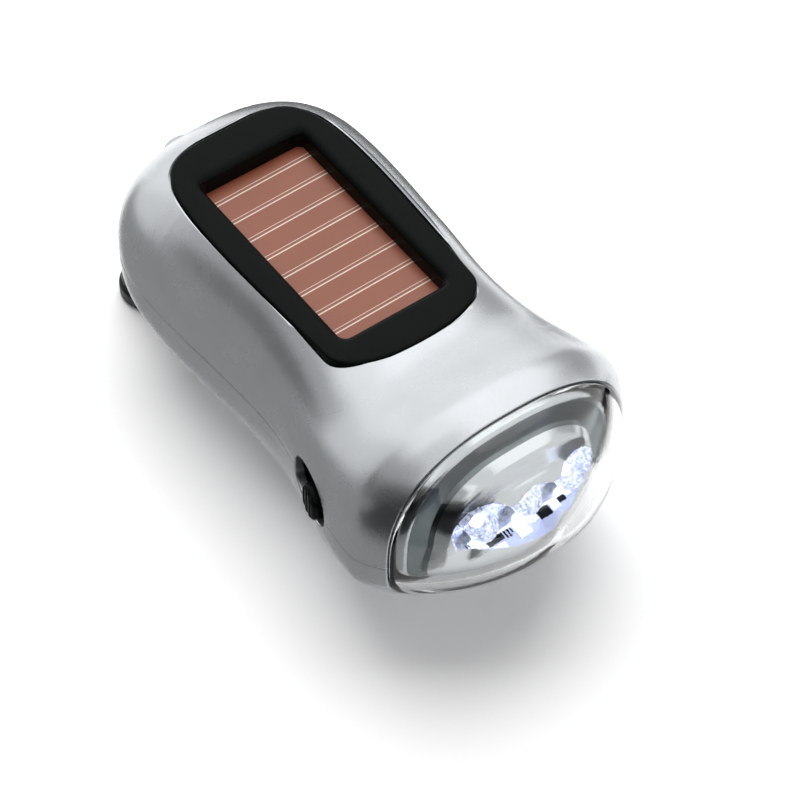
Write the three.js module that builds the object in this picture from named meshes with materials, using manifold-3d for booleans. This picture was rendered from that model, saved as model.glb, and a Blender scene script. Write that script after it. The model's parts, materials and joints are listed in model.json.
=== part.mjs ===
// Hand crank flashlight: a palm-sized torch with a solar cell on top, three lamps behind a
// domed lens, and a folding crank underneath that drives a generator through a gear train.
// Millimetres. X runs across the body, Y from the lens (front) to the tail, Z up from the
// surface it lies on. The origin is the middle of its footprint on that surface.

import * as THREE from "three";
import { mergeVertices } from "three/addons/utils/BufferGeometryUtils.js";
import Module from "manifold-3d";

const wasm = await Module();
wasm.setup();

// Body form: stations along Y, with the half width, rise and drop that belong to them
const tailEnd = 48.6;
const tailShoulder = 26.4;
const waistStation = -5.5;
const headShoulder = -35.9;
const lensTip = -54.9;
const seamStation = -41.9;
const tailHalfWidth = 23.7;
const waistHalfWidth = 22.2;
const headHalfWidth = 27;
const tailCrestStation = 3.4;
const neckStation = -20.2;
const headCrestStation = -40.3;
const tailRise = 23.8;
const neckRise = 19;
const headRise = 24.4;
const tailDrop = 17.9;
const neckDrop = 19.4;
const headDrop = 13.7;
const noseLift = 2.7;
const wall = 2;

// Roundness powers of the superellipses: 2 is an ellipse, more is squarer, less is more pointed
const tailPower = 2.7;
const noseSidePower = 1.5;
const noseTopPower = 1.7;
const upperPower = 2.48;
const lowerPower = 3.2;

// Heights above the resting plane
const armThickness = 3.6;
const armRelief = 0.6;
const bellyDepth = 18.3;
const plateauRise = 18.2;
const bellyHeight = armThickness + armRelief;
const partingHeight = bellyHeight + bellyDepth;
const plateauHeight = partingHeight + plateauRise;

// Clearances
const partingGap = 0.2;
const seatGap = 0.25;
const pinGap = 0.12;
const overrun = 1;

// Solar bezel and cell
const bezelStation = -12.3;
const bezelTailReach = 50.4;
const bezelHeadReach = 6.8;
const bezelMiddleHalfWidth = 14.8;
const bezelTailHalfWidth = 17.3;
const bezelTailPower = 4.7;
const bezelHeadPower = 2.2;
const bezelFlange = 1.6;
const bezelProud = 0.3;
const bezelRound = 0.6;
const bezelLip = 0.5;
const windowLength = 41.1;
const windowHalfWidth = 10.1;
const windowFlare = 0.3;
const windowTailMargin = 8.1;
const windowCorner = 1.2;
const wellWall = 2.4;
const wellDepth = 3.5;
const cellThickness = 1.2;
const cellMargin = 1.2;
const ledgeThickness = 1.7;
const ledgeMargin = 0.9;

// Crank
const crankStation = -4;
const crankRadius = 51.5;
const crankStowAngle = 13.8;
const hubRadius = 14;
const hubWeb = 1.9;
const hubEdgeRound = 1.2;
const hubGap = 0.3;
const slotGap = 0.3;
const armHalfWidth = 5.3;
const armWaistHalfWidth = 4.5;
const armEdgeRound = 0.5;
const shaftRadius = 3;
const shaftFlat = 2.3;
const hingePinRadius = 1;
const hingePinLength = 24;
const knobRadius = 4.8;
const knobHeight = 6;
const knobEdgeRound = 1.3;
const knobWaist = 0.35;
const rivetRadius = 1.4;
const rivetHeadRadius = 2.6;
const rivetHeadThickness = 0.9;

// Lower floor and crank bush
const floorThickness = 1.9;
const floorPadMargin = 2.2;
const bushWall = 1.35;
const bushFlangeWidth = 1.3;
const bushFlange = 0.3;

// Gear train: two stages share the crank's axis, with the pair beside it on its own axle
const gearModule = 0.5;
const addendumShare = 0.9;
const dedendumShare = 1.25;
const gearBacklash = 0.1;
const meshRelief = 0.06;
const wheelTeeth = 48;
const upperWheelTeeth = 40;
const pinionTeeth = 12;
const wheelFace = 2.2;
const driveFace = 2.7;
const pinionFace = 2.5;
const gearRun = 0.2;
const axleRadius = 1;
const axleHeadRadius = 2;
const axleHead = 0.6;
const screwHeadRadius = 2;
const screwHead = 1.1;
const screwRadius = 0.95;
const hubScrewHeadRadius = 4;

// Gear plate and its posts
const plateThickness = 1.8;
const plateRim = 3;
const postRadius = 2.6;
const rearPostInset = 5.7;
const rearPostStation = 9.6;
const frontPostOffset = 6.6;
const frontPostStation = -34;
const plateScrewLength = 7;

// Charge board on the gear plate's pegs, with its rectifier and its smoothing capacitor
const boardHalfWidth = 9;
const boardFront = -31;
const boardLength = 17.5;
const standoffHeight = 2;
const standoffRadius = 1.5;
const standoffInset = 2.5;
const standoffPegRadius = 0.7;
const rectifierSize = [6.2, 4.6, 2.6];
const rectifierLeg = 0.7;
const rectifierLegReach = 1.1;
const capacitorRadius = 2.5;
const capacitorBase = 1;
const capacitorHeight = 6.5;
const capacitorRound = 0.4;

// Generator
const canRadius = 11;
const canHeight = 12.2;
const canWall = 0.9;
const endCapThickness = 1.5;
const magnetThickness = 2;
const magnetHeight = 8;
const magnetSpan = 120;
const armatureRadius = 7.2;
const armatureHeight = 6;
const armatureHub = 2.6;
const poleHalfWidth = 1.2;
const poleShoe = 1.3;
const poles = 3;
const rotorShaftRadius = 1;

// Batteries
const batteryRadius = 7.2;
const batteryCellLength = 5.4;
const batteryCells = 3;
const batteryTailMargin = 8.4;
const batteryHeight = 20.4;
const cradleThickness = 1.6;
const cradleOffset = 5.6;
const cradleHeight = 15.5;
const cradleShare = 3 / 4;
const tabThickness = 0.3;
const tabHalfWidth = 2;
const tabRise = 9.5;

// Lamps, reflector and lens
const lampCount = 3;
const lampPitch = 8.5;
const lampRise = 4.95;
const lampRadius = 2.5;
const lampFlange = 0.4;
const lampLength = 8.6;
const lampSetback = 14.6;
const lampLead = 0.5;
const lampLeadPitch = 2.54;
const lampLeadLength = 2.4;
const reflectorInset = 3.3;
const reflectorWall = 1.2;
const reflectorSkirt = 1.4;
const cupBaseRadius = 4.2;
const cupMouthRadius = 6.7;
const cupWall = 0.8;
const cupBack = 1.2;
const cupSetback = 11.6;
const trayHalfLength = 14.9;
const trayRise = 4.7;
const trayDrop = 6.3;
const trayCorner = 5.2;
const traySetback = 7.9;
const pegRadius = 1.2;
const pegShoulder = 2;
const pegOffset = 13.4;
const boardThickness = 1.6;
const lampBoardHalfWidth = 16.4;
const lampBoardHalfHeight = 5.6;
const tongueThickness = 0.8;
const tongueLength = 3;
const lensRingDepth = 1.4;

// Slide switch in the left wall
const switchStation = -21.6;
const switchDrop = 0.2;
const switchHalfLength = 6.2;
const switchHalfHeight = 4.9;
const switchPower = 2.4;
const switchTravel = 4;
const sliderHalfLength = 2.6;
const sliderHalfHeight = 3.4;
const sliderCorner = 2.4;
const sliderProud = 1;
const sliderPlate = 0.8;
const sliderPlateCover = 0.4;
const sliderPlateHalfHeight = 5.8;
const wallCurveAllowance = 1.4;
const ribDepth = 0.5;
const forkReach = 0.7;
const leverHalf = 0.8;
const leverLength = 2.6;
const switchBodyDepth = 3.4;
const switchBodyHalfLength = 5;
const switchBodyHalfHeight = 2.2;
const switchBodyGap = 1.1;
const switchBoardThickness = 1;
const switchBoardHalfLength = 6.4;
const switchBoardBelow = 9;
const switchBoardAbove = 5;
const railWall = 0.9;
const railGrip = 2.6;

// Case screws: inset from the body's side and station of the tail pair and of the head pair
const tailScrewInset = 8.2;
const tailScrewStation = 32;
const headScrewInset = 7.5;
const headScrewStation = -33.4;
const bossRadius = 3.1;
const screwSeat = 9;
const caseScrewLength = 15;

// Lanyard eye
const eyeRadius = 3.9;
const eyeHoleRadius = 2.1;
const eyeOverhang = 6.3;
const eyeThickness = 3.4;
const eyeRise = 2;
const eyeNeckHalfWidth = 2.6;
const eyeAnchorHalfWidth = 4.2;
const eyeAnchorLength = 2;

// Facet counts
const alongCount = 26;
const aroundCount = 32;
const innerAlongCount = 14;
const innerAroundCount = 16;
const roundSides = 24;
const cupSides = 16;
const lampSides = 12;
const rivetSides = 12;
const pinSides = 8;
const arcSteps = 3;
const cornerSteps = 2;
const outlineCount = 36;

// Finishes
const finish = (color, roughness, metalness, opacity = 1) =>
  new THREE.MeshStandardMaterial({ color, roughness, metalness, opacity, transparent: opacity < 1 });
const silverPaint = finish(0xb4b6b8, 0.35, 0.7);
const blackPlastic = finish(0x161917, 0.45, 0);
const crankPlastic = finish(0x1a1b1c, 0.5, 0);
const cellFilm = finish(0xa5705f, 0.35, 0.1);
const clearPlastic = finish(0xe8eef2, 0.08, 0, 0.3);
const chromeFilm = finish(0xd5d8da, 0.12, 1);
const lampResin = finish(0xdfe6ff, 0.15, 0, 0.6);
const boardLaminate = finish(0x2d6b3f, 0.6, 0);
const gearPlastic = finish(0xe9e6da, 0.5, 0);
const pinSteel = finish(0xa9acb0, 0.3, 1);
const canSteel = finish(0x9da1a6, 0.35, 1);
const magnetFerrite = finish(0x3a3a3d, 0.7, 0.2);
const copperWinding = finish(0xa65a2e, 0.4, 0.8);
const batterySleeve = finish(0x3c8a4e, 0.5, 0);
const eyePlastic = finish(0xe6e8e8, 0.25, 0, 0.6);
const bushBronze = finish(0xb08d57, 0.4, 0.9);

const flashlight = new THREE.Group();

function piece(name, geometry, material, parent = flashlight) {
  const mesh = new THREE.Mesh(geometry, material);
  mesh.name = name;
  parent.add(mesh);
  return mesh;
}

// A closed geometry as a solid for joining and cutting
function solidOf(geometry) {
  const bare = geometry.clone();
  bare.deleteAttribute("normal");
  bare.deleteAttribute("uv");
  const merged = mergeVertices(bare);
  const points = merged.attributes.position;
  const corner = (i) => new THREE.Vector3().fromBufferAttribute(points, merged.index.getX(i));
  let volume = 0;
  for (let i = 0; i < merged.index.count; i += 3) {
    volume += corner(i).dot(corner(i + 1).cross(corner(i + 2)));
  }
  const triVerts = new Uint32Array(merged.index.array);
  if (volume < 0) {
    for (let i = 0; i < triVerts.length; i += 3) {
      [triVerts[i + 1], triVerts[i + 2]] = [triVerts[i + 2], triVerts[i + 1]];
    }
  }
  return new wasm.Manifold(new wasm.Mesh({ numProp: 3, vertProperties: points.array, triVerts }));
}

function geometryOf(solid) {
  const mesh = solid.getMesh();
  const geometry = new THREE.BufferGeometry();
  geometry.setAttribute("position", new THREE.Float32BufferAttribute(mesh.vertProperties, 3));
  geometry.setIndex(new THREE.Uint32BufferAttribute(mesh.triVerts, 1));
  return geometry;
}

const joined = (solids) => solids.reduce((whole, solid) => whole.add(solid));
const cutBy = (solid, cutters) => cutters.reduce((rest, cutter) => rest.subtract(cutter), solid);

// Closed shapes: a box between two corners, an upright prism, an upright or lying cylinder
function blockBetween(low, high) {
  const size = high.map((value, axis) => value - low[axis]);
  const box = new THREE.BoxGeometry(...size);
  return box.translate(...low.map((value, axis) => value + size[axis] / 2));
}

function prism(shape, bottom, top) {
  const geometry = new THREE.ExtrudeGeometry(shape, {
    depth: top - bottom,
    bevelEnabled: false,
    curveSegments: cornerSteps,
  });
  return geometry.translate(0, 0, bottom);
}

function softPrism(shape, bottom, top, round, curveSegments = cornerSteps) {
  const geometry = new THREE.ExtrudeGeometry(shape, {
    depth: top - bottom - 2 * round,
    bevelSize: round,
    bevelThickness: round,
    bevelOffset: -round,
    bevelSegments: 1,
    curveSegments,
  });
  return geometry.translate(0, 0, bottom + round);
}

function column(radius, bottom, top, x = 0, y = 0, sides = pinSides) {
  const geometry = new THREE.CylinderGeometry(radius, radius, top - bottom, sides);
  return geometry.rotateX(Math.PI / 2).translate(x, y, (bottom + top) / 2);
}

function turned(profile, sides = roundSides) {
  const points = profile.map(([radius, height]) => new THREE.Vector2(radius, height));
  return new THREE.LatheGeometry(points, sides).rotateX(Math.PI / 2);
}

const solidBlock = (low, high) => solidOf(blockBetween(low, high));
const solidColumn = (...sizes) => solidOf(column(...sizes));

// The body's form, as cross sections whose size changes along Y
const clamp = (t) => Math.min(Math.max(t, 0), 1);
const ease = (t) => clamp(t) ** 2 * (3 - 2 * clamp(t));
const cap = (t, power) => (1 - clamp(t) ** power) ** (1 / power);
const signedPower = (value, power) => Math.sign(value) * Math.abs(value) ** power;

function swell(y, inset, stations, sizes) {
  const [rear, middle, front] = stations;
  const [rearSize, middleSize, frontSize] = sizes.map((size) => size - inset);
  if (y > rear) return rearSize * cap((y - rear) / (tailEnd - inset - rear), tailPower);
  const from = y > middle ? middleSize : frontSize;
  const to = y > middle ? rearSize : middleSize;
  const t = y > middle ? (y - middle) / (rear - middle) : (y - front) / (middle - front);
  return from + (to - from) * ease(t);
}

function sectionAt(y, inset) {
  const heightStations = [tailCrestStation, neckStation, headCrestStation];
  const nose = (headShoulder - y) / (headShoulder - lensTip - inset);
  const side = cap(nose, noseSidePower);
  const height = cap(nose, noseTopPower);
  const lift = noseLift * (1 - height);
  const widths = [tailHalfWidth, waistHalfWidth, headHalfWidth];
  return {
    halfWidth: swell(y, inset, [tailShoulder, waistStation, headShoulder], widths) * side,
    rise: swell(y, inset, heightStations, [tailRise, neckRise, headRise]) * height,
    drop: swell(y, inset, heightStations, [tailDrop, neckDrop, headDrop]) * height,
    lift,
  };
}

function bodyLoft(inset, along = alongCount, around = aroundCount) {
  const rear = tailEnd - inset;
  const front = lensTip + inset;
  const positions = [0, rear, partingHeight];
  for (let k = 1; k < along; k += 1) {
    const y = (rear + front) / 2 + ((rear - front) / 2) * Math.cos((Math.PI * k) / along);
    const { halfWidth, rise, drop, lift } = sectionAt(y, inset);
    for (let i = 0; i < around; i += 1) {
      const angle = (2 * Math.PI * i) / around;
      const upper = Math.sin(angle) >= 0;
      const power = 2 / (upper ? upperPower : lowerPower);
      const x = halfWidth * signedPower(Math.cos(angle), power);
      const z = (upper ? rise : drop) * signedPower(Math.sin(angle), power);
      positions.push(x, y, partingHeight + lift + z);
    }
  }
  positions.push(0, front, partingHeight + noseLift);
  const last = positions.length / 3 - 1;
  const index = [];
  for (let i = 0; i < around; i += 1) {
    const next = (i + 1) % around;
    index.push(0, 1 + next, 1 + i);
    for (let k = 0; k < along - 2; k += 1) {
      const a = 1 + k * around;
      const b = a + around;
      index.push(a + i, a + next, b + i, a + next, b + next, b + i);
    }
    const end = last - around;
    index.push(last, end + i, end + next);
  }
  const geometry = new THREE.BufferGeometry();
  geometry.setAttribute("position", new THREE.Float32BufferAttribute(positions, 3));
  geometry.setIndex(index);
  return solidOf(geometry);
}

const outerBody = bodyLoft(0);
const innerBody = bodyLoft(wall, innerAlongCount, innerAroundCount);
const wallCore = bodyLoft(wall / 2, innerAlongCount, innerAroundCount);
const reach = tailEnd - lensTip;
const slab = (yLow, yHigh, zLow = -reach, zHigh = reach) =>
  solidBlock([-reach, yLow, zLow], [reach, yHigh, zHigh]);

// Outline shared by the solar bezel, its pocket and the ledge under it
function bezelShape(margin) {
  const points = [];
  for (let i = 0; i < outlineCount; i += 1) {
    const angle = (2 * Math.PI * i) / outlineCount;
    const rearward = Math.sin(angle) >= 0;
    const power = 2 / (rearward ? bezelTailPower : bezelHeadPower);
    const extent = (rearward ? bezelTailReach : bezelHeadReach) + margin;
    const y = extent * signedPower(Math.sin(angle), power);
    const flare = (bezelTailHalfWidth - bezelMiddleHalfWidth) * (y / bezelTailReach);
    const halfWidth = bezelMiddleHalfWidth + flare + margin;
    points.push(new THREE.Vector2(halfWidth * signedPower(Math.cos(angle), power), bezelStation + y));
  }
  return new THREE.Shape(points);
}

function roundedRectangle(xLow, xHigh, yLow, yHigh, radius) {
  const shape = new THREE.Shape();
  const quarter = Math.PI / 2;
  shape.absarc(xHigh - radius, yLow + radius, radius, -quarter, 0);
  shape.absarc(xHigh - radius, yHigh - radius, radius, 0, quarter);
  shape.absarc(xLow + radius, yHigh - radius, radius, quarter, 2 * quarter);
  shape.absarc(xLow + radius, yLow + radius, radius, 2 * quarter, 3 * quarter);
  shape.closePath();
  return shape;
}

// Screws: a head under the seat and a shank up into the boss
function screwGeometry(seat, length, x, y, headBelow, headRadius = screwHeadRadius) {
  const sign = headBelow ? 1 : -1;
  const profile = [
    [0, -sign * screwHead],
    [headRadius, -sign * screwHead],
    [headRadius, 0],
    [screwRadius, 0],
    [screwRadius, sign * length],
    [0, sign * length],
  ];
  if (!headBelow) profile.reverse();
  return turned(profile, pinSides).translate(x, y, seat);
}

// Switch frame: its origin lies on the wall's outer face, its -X side faces out of the wall
const switchSlope =
  sectionAt(switchStation + overrun, 0).halfWidth - sectionAt(switchStation - overrun, 0).halfWidth;
const switchFrame = new THREE.Group();
switchFrame.position.set(
  -sectionAt(switchStation, 0).halfWidth,
  switchStation,
  partingHeight - switchDrop,
);
switchFrame.rotation.z = Math.atan2(switchSlope, 2 * overrun);
switchFrame.updateMatrix();
flashlight.add(switchFrame);
const inSwitchFrame = (geometry) => solidOf(geometry.clone().applyMatrix4(switchFrame.matrix));

function switchOpening() {
  const points = [];
  for (let i = 0; i < roundSides; i += 1) {
    const angle = (2 * Math.PI * i) / roundSides;
    const y = switchHalfLength * signedPower(Math.cos(angle), 2 / switchPower);
    const z = switchHalfHeight * signedPower(Math.sin(angle), 2 / switchPower);
    points.push(new THREE.Vector2(y, z));
  }
  const depth = 2 * (wall + overrun);
  const geometry = new THREE.ExtrudeGeometry(new THREE.Shape(points), { depth, bevelEnabled: false });
  geometry.translate(0, 0, -depth / 2).rotateX(Math.PI / 2).rotateZ(Math.PI / 2);
  return inSwitchFrame(geometry);
}

// At rest the switch is at the head end of its travel. Its plate hides the opening all the way
const sliderRestOffset = -switchTravel / 2;
const sliderPlateHalfLength = switchHalfLength + switchTravel / 2 + sliderPlateCover;

// Places along the switch's depth, inwards from the wall's outer face
const sliderPlateNear = wall + wallCurveAllowance;
const sliderPlateFar = sliderPlateNear + sliderPlate;
const switchBodyNear = sliderPlateFar + switchBodyGap;
const switchBodyFar = switchBodyNear + switchBodyDepth;
const switchBoardNear = switchBodyFar + pinGap;
const switchBoardFar = switchBoardNear + switchBoardThickness;
const switchBoardBox = (margin) =>
  blockBetween(
    [switchBoardNear - margin, -switchBoardHalfLength - margin, -switchBoardBelow - margin],
    [switchBoardFar + margin, switchBoardHalfLength + margin, switchBoardAbove],
  );

// Lanyard eye: a ring behind the tail on a neck that is anchored inside the shells
const eyeBottom = partingHeight + eyeRise - eyeThickness;
const eyeTop = partingHeight + eyeRise;
const eyeStation = tailEnd + eyeOverhang - eyeRadius;
const anchorRear = tailEnd - wall - 2 * seatGap;

function eyeSolid(margin) {
  const anchorFront = anchorRear - eyeAnchorLength;
  const low = eyeBottom - margin;
  const high = eyeTop + margin;
  const neckHalf = eyeNeckHalfWidth + margin;
  const anchorHalf = eyeAnchorHalfWidth + margin;
  return joined([
    solidColumn(eyeRadius + margin, low, high, 0, eyeStation, cupSides),
    solidBlock([-neckHalf, anchorFront - margin, low], [neckHalf, eyeStation, high]),
    solidBlock([-anchorHalf, anchorFront - margin, low], [anchorHalf, anchorRear + margin, high]),
  ]);
}

// Where the knob lies when the crank is stowed, and the room that it needs there
const stowAngle = THREE.MathUtils.degToRad(crankStowAngle);
const knobBottom = armThickness + pinGap;
const knobTop = knobBottom + knobHeight;

function knobDimple(margin) {
  const x = -crankRadius * Math.sin(stowAngle);
  const y = crankStation + crankRadius * Math.cos(stowAngle);
  return solidColumn(knobRadius + margin, 0, knobTop + margin, x, y, cupSides);
}

// Heights of the gear train, from the belly's recess upwards
const hubTop = armThickness + slotGap + hubWeb;
const recessTop = hubTop + hubGap;
const floorTop = recessTop + floorThickness;
const bushTop = floorTop + pinGap + bushFlange;
const driveBottom = bushTop + gearRun;
const driveTop = driveBottom + driveFace;
const hubScrewTop = driveTop + pinGap + screwHead;
const wheelBottom = hubScrewTop + gearRun + axleHead + gearRun;
const wheelTop = wheelBottom + wheelFace;
const upperPinionTop = wheelBottom + pinionFace;
const upperWheelTop = upperPinionTop + wheelFace;
const plateBottom = upperWheelTop + 3 * gearRun;
const plateTop = plateBottom + plateThickness;

const pitchRadius = (teeth) => (gearModule * teeth) / 2;
const axisDistance = (a, b) => pitchRadius(a) + pitchRadius(b) + meshRelief;
const axleStation = crankStation - axisDistance(wheelTeeth, pinionTeeth);
const rotorStation = crankStation + axisDistance(upperWheelTeeth, pinionTeeth);

const rearPostOffset = waistHalfWidth - rearPostInset;
const posts = [
  [rearPostOffset, rearPostStation],
  [-rearPostOffset, rearPostStation],
  [-frontPostOffset, frontPostStation],
  [frontPostOffset, frontPostStation],
];
const tailScrewOffset = tailHalfWidth - tailScrewInset;
const headScrewOffset = headHalfWidth - headScrewInset;
const caseScrews = {
  tail_left: [-tailScrewOffset, tailScrewStation],
  tail_right: [tailScrewOffset, tailScrewStation],
  head_left: [-headScrewOffset, headScrewStation],
  head_right: [headScrewOffset, headScrewStation],
};
const screwSeatHeight = bellyHeight + screwSeat;
const screwTopHeight = screwSeatHeight + caseScrewLength;

// The bezel's window, its well and the cell in the pocket under it
const windowRear = bezelStation + bezelTailReach - windowTailMargin;
const windowFront = windowRear - windowLength;
const bezelTop = plateauHeight + bezelProud;
const windowFloor = bezelTop - wellDepth;
const wellBottom = windowFloor - cellThickness - seatGap;
const wellRectangle = (margin) =>
  roundedRectangle(
    -windowHalfWidth - margin,
    windowHalfWidth + margin,
    windowFront - margin,
    windowRear + margin,
    windowCorner + margin,
  );

const batteryStation = tailEnd - batteryTailMargin - batteryRadius;

// Upper shell: the top half of the hollow body, with the bezel's pocket cut into its crown
function upperShell() {
  const half = slab(seamStation + partingGap / 2, reach, partingHeight + partingGap / 2, reach);
  const ledgeBottom = plateauHeight - bezelFlange - ledgeThickness;
  const ledge = solidOf(prism(bezelShape(ledgeMargin), ledgeBottom, plateauHeight));
  const bosses = Object.values(caseScrews).map(([x, y]) =>
    solidColumn(bossRadius, partingHeight, reach, x, y).intersect(wallCore),
  );
  const hollow = outerBody.subtract(innerBody).intersect(half);
  const whole = joined([hollow, ledge.intersect(outerBody), ...bosses.map((boss) => boss.intersect(half))]);
  return cutBy(whole, [
    solidOf(prism(bezelShape(bezelLip), plateauHeight, reach)),
    solidOf(prism(bezelShape(seatGap), plateauHeight - bezelFlange, reach)),
    solidOf(prism(wellRectangle(wellWall + seatGap), partingHeight, reach)),
    switchOpening(),
    eyeSolid(seatGap),
    ...Object.values(caseScrews).map(([x, y]) =>
      solidColumn(screwRadius + pinGap, 0, screwTopHeight + pinGap, x, y),
    ),
  ]);
}
piece("upper_shell", geometryOf(upperShell()), silverPaint);

// Lower shell: a flat belly with the crank's recess, and the posts, bosses and cradle inside
function lowerShell() {
  const half = slab(seamStation + partingGap / 2, reach, bellyHeight, partingHeight - partingGap / 2);
  const cavity = innerBody.intersect(slab(-reach, reach, bellyHeight + wall, reach));
  const hollow = outerBody.intersect(half).subtract(cavity);
  const post = ([x, y]) => solidColumn(postRadius, 0, plateBottom - pinGap, x, y);
  const boss = ([x, y]) => solidColumn(bossRadius, 0, partingHeight - partingGap / 2, x, y);
  const dimpleRoof = knobDimple(hubGap + wall / 2);
  const floorPad = solidColumn(hubRadius + floorPadMargin, 0, floorTop, 0, crankStation, roundSides);
  const axleBoss = solidColumn(2 * axleRadius + gearRun, 0, driveBottom - gearRun, 0, axleStation);
  const battery = column(batteryRadius + seatGap, -reach, reach, 0, 0, roundSides);
  battery.rotateY(Math.PI / 2).translate(0, batteryStation, batteryHeight);
  const cradle = [-cradleOffset, cradleOffset].map((x) =>
    solidBlock(
      [x - cradleThickness / 2, batteryStation - batteryRadius * cradleShare, 0],
      [x + cradleThickness / 2, batteryStation + batteryRadius * cradleShare, cradleHeight],
    ).subtract(solidOf(battery)),
  );
  const rail = inSwitchFrame(
    blockBetween(
      [switchBoardNear - railWall, -switchBoardHalfLength - railWall, -reach],
      [switchBoardFar + railWall, switchBoardHalfLength + railWall, railGrip - switchBoardBelow],
    ),
  );
  const insides = [dimpleRoof, floorPad, axleBoss, rail, ...cradle, ...posts.map(post)];
  const fittings = [...insides, ...Object.values(caseScrews).map(boss)].map((solid) =>
    solid.intersect(wallCore).intersect(half),
  );
  const screwHoles = Object.values(caseScrews).flatMap(([x, y]) => [
    solidColumn(screwRadius + pinGap, 0, reach, x, y),
    solidColumn(screwHeadRadius + seatGap, 0, screwSeatHeight, x, y),
  ]);
  return cutBy(joined([hollow, ...fittings]), [
    solidColumn(hubRadius + hubGap + pinGap, 0, recessTop, 0, crankStation, roundSides),
    solidColumn(shaftRadius + 2 * pinGap + bushWall, 0, reach, 0, crankStation, roundSides),
    solidColumn(axleRadius + pinGap, bellyHeight + wall, reach, 0, axleStation),
    knobDimple(hubGap),
    inSwitchFrame(switchBoardBox(seatGap)),
    switchOpening(),
    eyeSolid(seatGap),
    ...screwHoles,
    ...posts.map(([x, y]) => solidColumn(screwRadius + pinGap, plateTop - plateScrewLength, reach, x, y)),
  ]);
}
piece("lower_shell", geometryOf(lowerShell()), silverPaint);
for (const [place, [x, y]] of Object.entries(caseScrews)) {
  const screw = screwGeometry(screwSeatHeight - pinGap, caseScrewLength, x, y, true);
  piece("case_screw_" + place, screw, pinSteel);
}
piece("lanyard_eye", geometryOf(eyeSolid(0).subtract(
  solidColumn(eyeHoleRadius, 0, reach, 0, eyeStation, cupSides))), eyePlastic);

// Solar bezel: a flange on the plateau, with a well that holds the cell from below
function bezel() {
  const flangeBottom = plateauHeight - bezelFlange + pinGap;
  const flange = solidOf(softPrism(bezelShape(0), flangeBottom, bezelTop, bezelRound));
  const well = solidOf(prism(wellRectangle(wellWall), wellBottom, bezelTop - bezelRound));
  const mouth = softPrism(wellRectangle(0), windowFloor - overrun, bezelTop + overrun, 0);
  const flared = mouth.attributes.position;
  const middle = (windowRear + windowFront) / 2;
  for (let i = 0; i < flared.count; i += 1) {
    if (flared.getZ(i) > bezelTop) {
      const outward = windowFlare * (1 + (2 * overrun) / wellDepth);
      flared.setX(i, flared.getX(i) + outward * Math.sign(flared.getX(i)));
      flared.setY(i, flared.getY(i) + outward * Math.sign(flared.getY(i) - middle));
    }
  }
  const pocket = prism(wellRectangle(cellMargin + seatGap), wellBottom - overrun, windowFloor);
  return cutBy(flange.add(well), [solidOf(mouth), solidOf(pocket)]);
}
piece("solar_bezel", geometryOf(bezel()), blackPlastic);
piece("solar_cell", prism(wellRectangle(cellMargin), wellBottom + pinGap, windowFloor - pinGap), cellFilm);

// Lens: the front of the body as a clear shell, with a tongue that slides into the shells
function lens() {
  const tongueNear = wall + seatGap;
  const tongueFar = tongueNear + tongueThickness;
  const front = seamStation - partingGap / 2;
  const dome = outerBody.subtract(innerBody).intersect(slab(-reach, front));
  const tongueCore = bodyLoft(tongueFar, innerAlongCount, innerAroundCount);
  const tongueSkin = bodyLoft(tongueNear, innerAlongCount, innerAroundCount);
  const ring = outerBody.subtract(tongueCore).intersect(slab(front - lensRingDepth, front));
  const tongue = tongueSkin
    .subtract(tongueCore)
    .intersect(slab(front - lensRingDepth, seamStation + tongueLength));
  return joined([dome, ring, tongue]);
}
piece("lens", geometryOf(lens()), clearPlastic);

// Reflector: a bright skin behind the lens with a tray across it and a cup for each lamp
const lampHeight = partingHeight + lampRise;
const lampOffsets = Array.from({ length: lampCount }, (_, i) => (i - (lampCount - 1) / 2) * lampPitch);
const lampBase = lensTip + lampSetback;
const cupBase = lensTip + cupSetback;
const trayBase = lensTip + traySetback;
const lampBoardFront = lampBase + seatGap;

function cup(margin, back) {
  const depth = cupSetback + overrun;
  const profile = [[0, back]];
  for (let i = 0; i <= arcSteps; i += 1) {
    const t = i / arcSteps;
    const radius = cupBaseRadius + (cupMouthRadius - cupBaseRadius) * Math.sqrt(t);
    profile.push([radius + margin, i === 0 ? back : -depth * t]);
  }
  profile.push([0, -depth]);
  profile.reverse();
  return turned(profile, cupSides).rotateX(-Math.PI / 2).translate(0, cupBase, lampHeight);
}

function tray(margin) {
  const outline = roundedRectangle(
    -trayHalfLength - margin,
    trayHalfLength + margin,
    lampHeight - trayDrop - margin,
    lampHeight + trayRise + margin,
    trayCorner + margin,
  );
  return solidOf(prism(outline, -trayBase - margin, reach).rotateX(Math.PI / 2));
}

function reflector() {
  const skin = bodyLoft(reflectorInset, innerAlongCount, innerAroundCount);
  const core = bodyLoft(reflectorInset + reflectorWall, innerAlongCount, innerAroundCount);
  const front = slab(-reach, seamStation + reflectorSkirt);
  const cups = lampOffsets.map((x) => solidOf(cup(cupWall, cupBack).translate(x, 0, 0)));
  const lyingColumn = (radius, yLow, yHigh, x) =>
    solidOf(column(radius, -yHigh, -yLow).rotateX(Math.PI / 2).translate(x, 0, lampHeight));
  const pegs = [-pegOffset, pegOffset].flatMap((x) => [
    lyingColumn(pegShoulder, cupBase, lampBoardFront - pinGap, x),
    lyingColumn(pegRadius, cupBase, lampBoardFront + boardThickness + pinGap, x),
  ]);
  const whole = joined([skin.subtract(core), ...[...cups, tray(cupWall)].map((one) => one.intersect(skin))]);
  const holes = lampOffsets.flatMap((x) => [
    solidOf(cup(0, 0).translate(x, 0, 0)),
    lyingColumn(lampRadius + seatGap, cupBase - overrun, cupBase + cupBack + overrun, x),
  ]);
  return cutBy(joined([whole.intersect(front), ...pegs]), [tray(0), ...holes]);
}
piece("reflector", geometryOf(reflector()), chromeFilm);

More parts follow.
